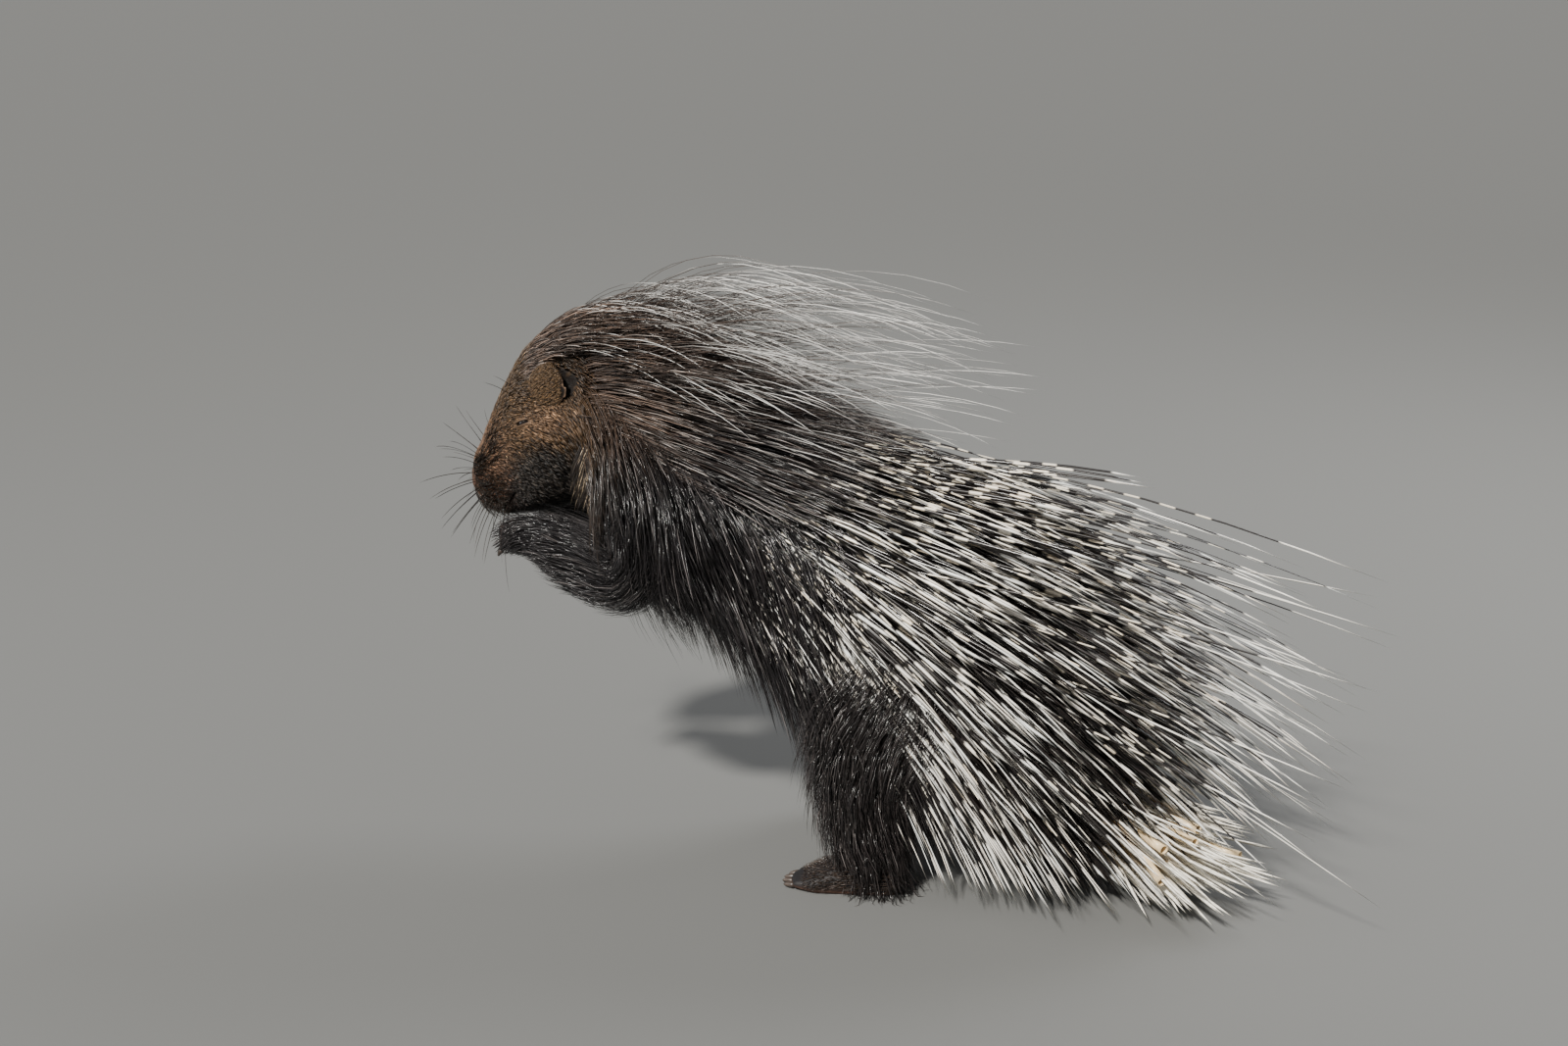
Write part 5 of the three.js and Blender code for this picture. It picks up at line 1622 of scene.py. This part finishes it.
keep_coat(body_quills(
    "long_quills", (11.6, 15.4), 112, 11.6, 60, (0.42, 1.06), False, (1.25, 1.7), even_tint(0.8, 1.05),
    skew=1.5, thin_rear=0.6, strays=0.02,
), LONG_RINGED, "banded_quill")
keep_coat(body_quills(
    "stout_quills", (12.1, 15.3), 108, 12.5, 61, (0.4, 0.72), True, (1.9, 2.7), even_tint(0.85, 1.05),
    thin_rear=0.6,
), STOUT_RINGED, "banded_quill")
keep_coat(body_quills(
    "short_quills", (11.3, 14.8), 122, 10.2, 62, (0.3, 0.6), False, (1.2, 1.8), even_tint(0.75, 1.05),
    fall_more=2.0, steps=5, thin_rear=0.7, thin_top=0.55,
), SHORT_RINGED, "banded_quill")
keep_coat(body_quills(
    "black_quills", (12.8, 15.6), 112, 8.4, 63, (0.5, 0.85), False, (0.9, 1.4), dark_tint,
    fall_more=2.0, steps=5, together=0.35, from_side=35,
), BRISTLE, "black_bristle")
keep_coat(body_quills(
    "thigh_quills", (11.6, 14.4), 126, 11.6, 64, (0.6, 1.35), False, (0.75, 1.1), even_tint(0.8, 1.05),
    skew=1.2, fall_more=5.0, together=0.2, from_side=78,
), FLANK_RINGED, "banded_quill")


# %% Stray quills
STRAY_QUILLS = 30


def stray_quills():
    """A few very long slender quills that reach out past the rest, level above, steep below."""
    rng = np.random.default_rng(65)
    count = STRAY_QUILLS
    side = np.where(np.arange(count) % 2, 1, -1)
    station = rng.uniform(12.2, 14.5, count)
    around = side * rng.uniform(28, 74, count)
    spot = spots(trunk, station, around)
    fall = 6 + 11 * (station - 12.2) + rng.normal(0, 4, count)
    swing = side * rng.uniform(1, 6, count)
    bend = rng.uniform(4, 13, count)
    length = (rng.uniform(0.41, 0.5, count) - spot["at"][:, 0]) / np.cos(np.radians(fall + bend / 2))
    steep = np.sin(np.radians(fall + bend))
    length = np.minimum(length, (spot["at"][:, 2] - 6 * MM) / steep)
    start, end = heading(-fall, swing), heading(-fall - bend, swing)
    paths = free_paths(spot["at"], spot["out"], start, end, length, 8, 0.006)
    half = taper(count, 8, rng.uniform(0.95, 1.3, count) * MM, 0.6, 0.3, 0.5)
    colours = np.tile(rng.uniform(0.85, 1.05, (count, 1, 1)), (1, 9, 3))
    return grow_coat("stray_quills", paths, spot["out"], half, half, colours, rng,
                     unwrapped("trunk", station, around))


STRAY_RINGED = quill_material("stray_banded_quill", (0.1, 0.2), 0.05, 0.034, 0.42)
keep_coat(stray_quills(), STRAY_RINGED, "banded_quill")


# %% White quills of the tail
TAIL_QUILLS = 230
GOLDEN_ANGLE = 137.5  # degrees from one quill to the next, which leaves no rows


def tail_quills():
    """Plain cream-white quills all round the tail, longer towards its top."""
    rng = np.random.default_rng(70)
    count = TAIL_QUILLS
    order = np.arange(count)
    around = (order * GOLDEN_ANGLE) % 360 - 180
    station = 0.1 + 0.85 * (order + rng.random(count)) / count
    lift = np.cos(np.radians(around))
    fall = 15 - 14 * lift + rng.normal(0, 4, count)
    swing = 32 + 17 * np.sin(np.radians(around)) + rng.normal(0, 5, count)
    spot = spots(FORMS["tail"], station, around)
    start, end = heading(-fall - 6, swing), heading(-fall * 0.8, swing)
    length = rng.uniform(80, 134, count) * MM
    steep = np.sin(np.radians(np.maximum(6, fall + 6)))
    length = np.minimum(length, np.maximum(0.03, (spot["at"][:, 2] - 5 * MM) / steep))
    paths = free_paths(spot["at"], spot["out"], start, end, length, 7, 0.004)
    half = taper(count, 7, rng.uniform(1.7, 2.5, count) * MM, 0.6, 0.35, 0.45)
    base = np.tile((0.6, 0.4, 0.2), (count, 1))
    tips = np.array((0.88, 0.84, 0.74)) * rng.uniform(0.9, 1.05, (count, 1))
    colours = shaded(base, rng, 0.12, tips, rng.uniform(0.7, 0.95, count), 7)
    return grow_coat("tail_quills", paths, spot["out"], half, half, colours, rng,
                     unwrapped("tail", station, around))


keep_coat(tail_quills(), TAIL_QUILL, "white_quill")


# %% Rattle quills of the tail
RATTLE_RINGS = (  # share of the length and radius in mm: stalk, tube, its open end and the inside
    (0, 1.2), (0.42, 1.2), (0.53, 3.8), (0.8, 4.5), (1.0, 4.2), (0.985, 3.6), (0.7, 3.4), (0.6, 0.5),
)
RATTLES, RATTLE_SIDES = 6, 12


def rattle_quills():
    """Hollow open-ended quills on thin stalks, which rattle when the tail is shaken."""
    rng = np.random.default_rng(71)
    around_ring = np.radians(np.arange(RATTLE_SIDES) * 360.0 / RATTLE_SIDES)
    verts, faces, patches = [], [], []
    for i in range(RATTLES):
        angle = 10 + 80 * (i * 0.618 % 1) if i < 4 else i * GOLDEN_ANGLE
        station = 0.4 + 0.06 * i
        spot = spots(FORMS["tail"], np.array(station), np.array(angle))
        ahead = heading(-13 + 16 * math.cos(math.radians(angle)) + rng.uniform(-4, 4),
                        36 + 20 * math.sin(math.radians(angle)) + rng.uniform(-4, 4))
        length = min(rng.uniform(74, 96) * MM, (spot["at"][2] - 7 * MM) / max(0.05, -ahead[2]))
        flat = unit(np.cross(ahead, (0, 0, 1)))
        top = np.cross(flat, ahead)
        first = len(verts)
        for share, radius in RATTLE_RINGS:
            for a in around_ring:
                middle = spot["at"] - spot["out"] * 0.003 + ahead * (share * length)
                verts.append(tuple(middle + (flat * np.cos(a) + top * np.sin(a)) * radius * MM))
                patches.append(unwrapped("tail", station, angle) + PATCH * (np.array((a / 6.3, share)) - 0.5))
        n, end = RATTLE_SIDES, len(verts)
        for r in range(first, end - n, n):
            faces += [(r + k, r + (k + 1) % n, r + n + (k + 1) % n, r + n + k) for k in range(n)]
        faces += [tuple(range(first + n - 1, first - 1, -1)), tuple(range(end - n, end))]
    mesh = bpy.data.meshes.new("rattle_quills")
    mesh.from_pydata(verts, [], faces)
    corners = np.empty(len(mesh.loops), np.int32)
    mesh.loops.foreach_get("vertex_index", corners)
    unwrap(mesh, np.array(patches)[corners])
    rattles = link_piece("rattle_quills", mesh)
    select_only(rattles)
    bpy.ops.object.mode_set(mode="EDIT")
    bpy.ops.mesh.select_all(action="SELECT")
    bpy.ops.mesh.normals_make_consistent(inside=False)
    bpy.ops.object.mode_set(mode="OBJECT")
    bpy.ops.object.shade_smooth()
    return rattles


hollow_quill = plain_material("rattle_quill", (0.74, 0.57, 0.34), 0.35)
keep_coat(rattle_quills(), mottle(hollow_quill, 150.0, 0.75, 1.2, height=0.0003), "white_quill")

# %% [markdown]
# ## Claws
# Short blunt horn claws, one at the end of each toe, drawn like the toes from a sphere whose rings
# follow a line that bends down.


# %% Claws
CLAW_SECTIONS = ((-0.1, 1.0), (0.3, 1.0), (0.65, 0.75), (1.0, 0.3))  # share of the length, radius


def claw(root, ahead):
    hind = root[2] < 0.1
    length, radius = (11 * MM, 2.8 * MM) if hind else (7 * MM, 2.4 * MM)
    down = np.array([0, 0, -1.0])
    bend = 0.1 if hind else 0.2
    stations = []
    for share, size in CLAW_SECTIONS:
        place = root + MIDDLE + ahead * share * length + down * bend * share**2 * length
        stations.append((*place, size * radius, size * radius))
    stations = np.array(stations)
    if hind:
        stations[:, 2] = np.maximum(stations[:, 2] - 2 * MM, stations[:, 4] + 0.6 * MM)
    return form_sphere("claw", oval(stations), (0, 1), 10, 9, 0)


claws = join([claw(*root) for root in claw_roots], "claws")
bpy.ops.object.shade_smooth()
horn = mottle(plain_material("horn", (0.045, 0.033, 0.026), 0.4), 260.0, 0.6, 1.5, (0.4, 1, 1), 0.0003)
claws.data.materials.append(horn)
print("claws:", len(claw_roots))

# %% [markdown]
# ## Hand over
# Every piece rides on the one body. The skin stands for all nodes of flesh, and the eyeballs for
# the eyes.

# %% Ride and replace
flesh = [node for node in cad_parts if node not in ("eye_left", "eye_right")]
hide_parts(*flesh)
for ball, node in zip(eyes, ("eye_left", "eye_right")):
    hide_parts(node)
    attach(ball, "root")
for piece in (skin, claws):
    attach(piece, "root")
for piece, slot_name in coat_pieces:
    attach(piece, "root")
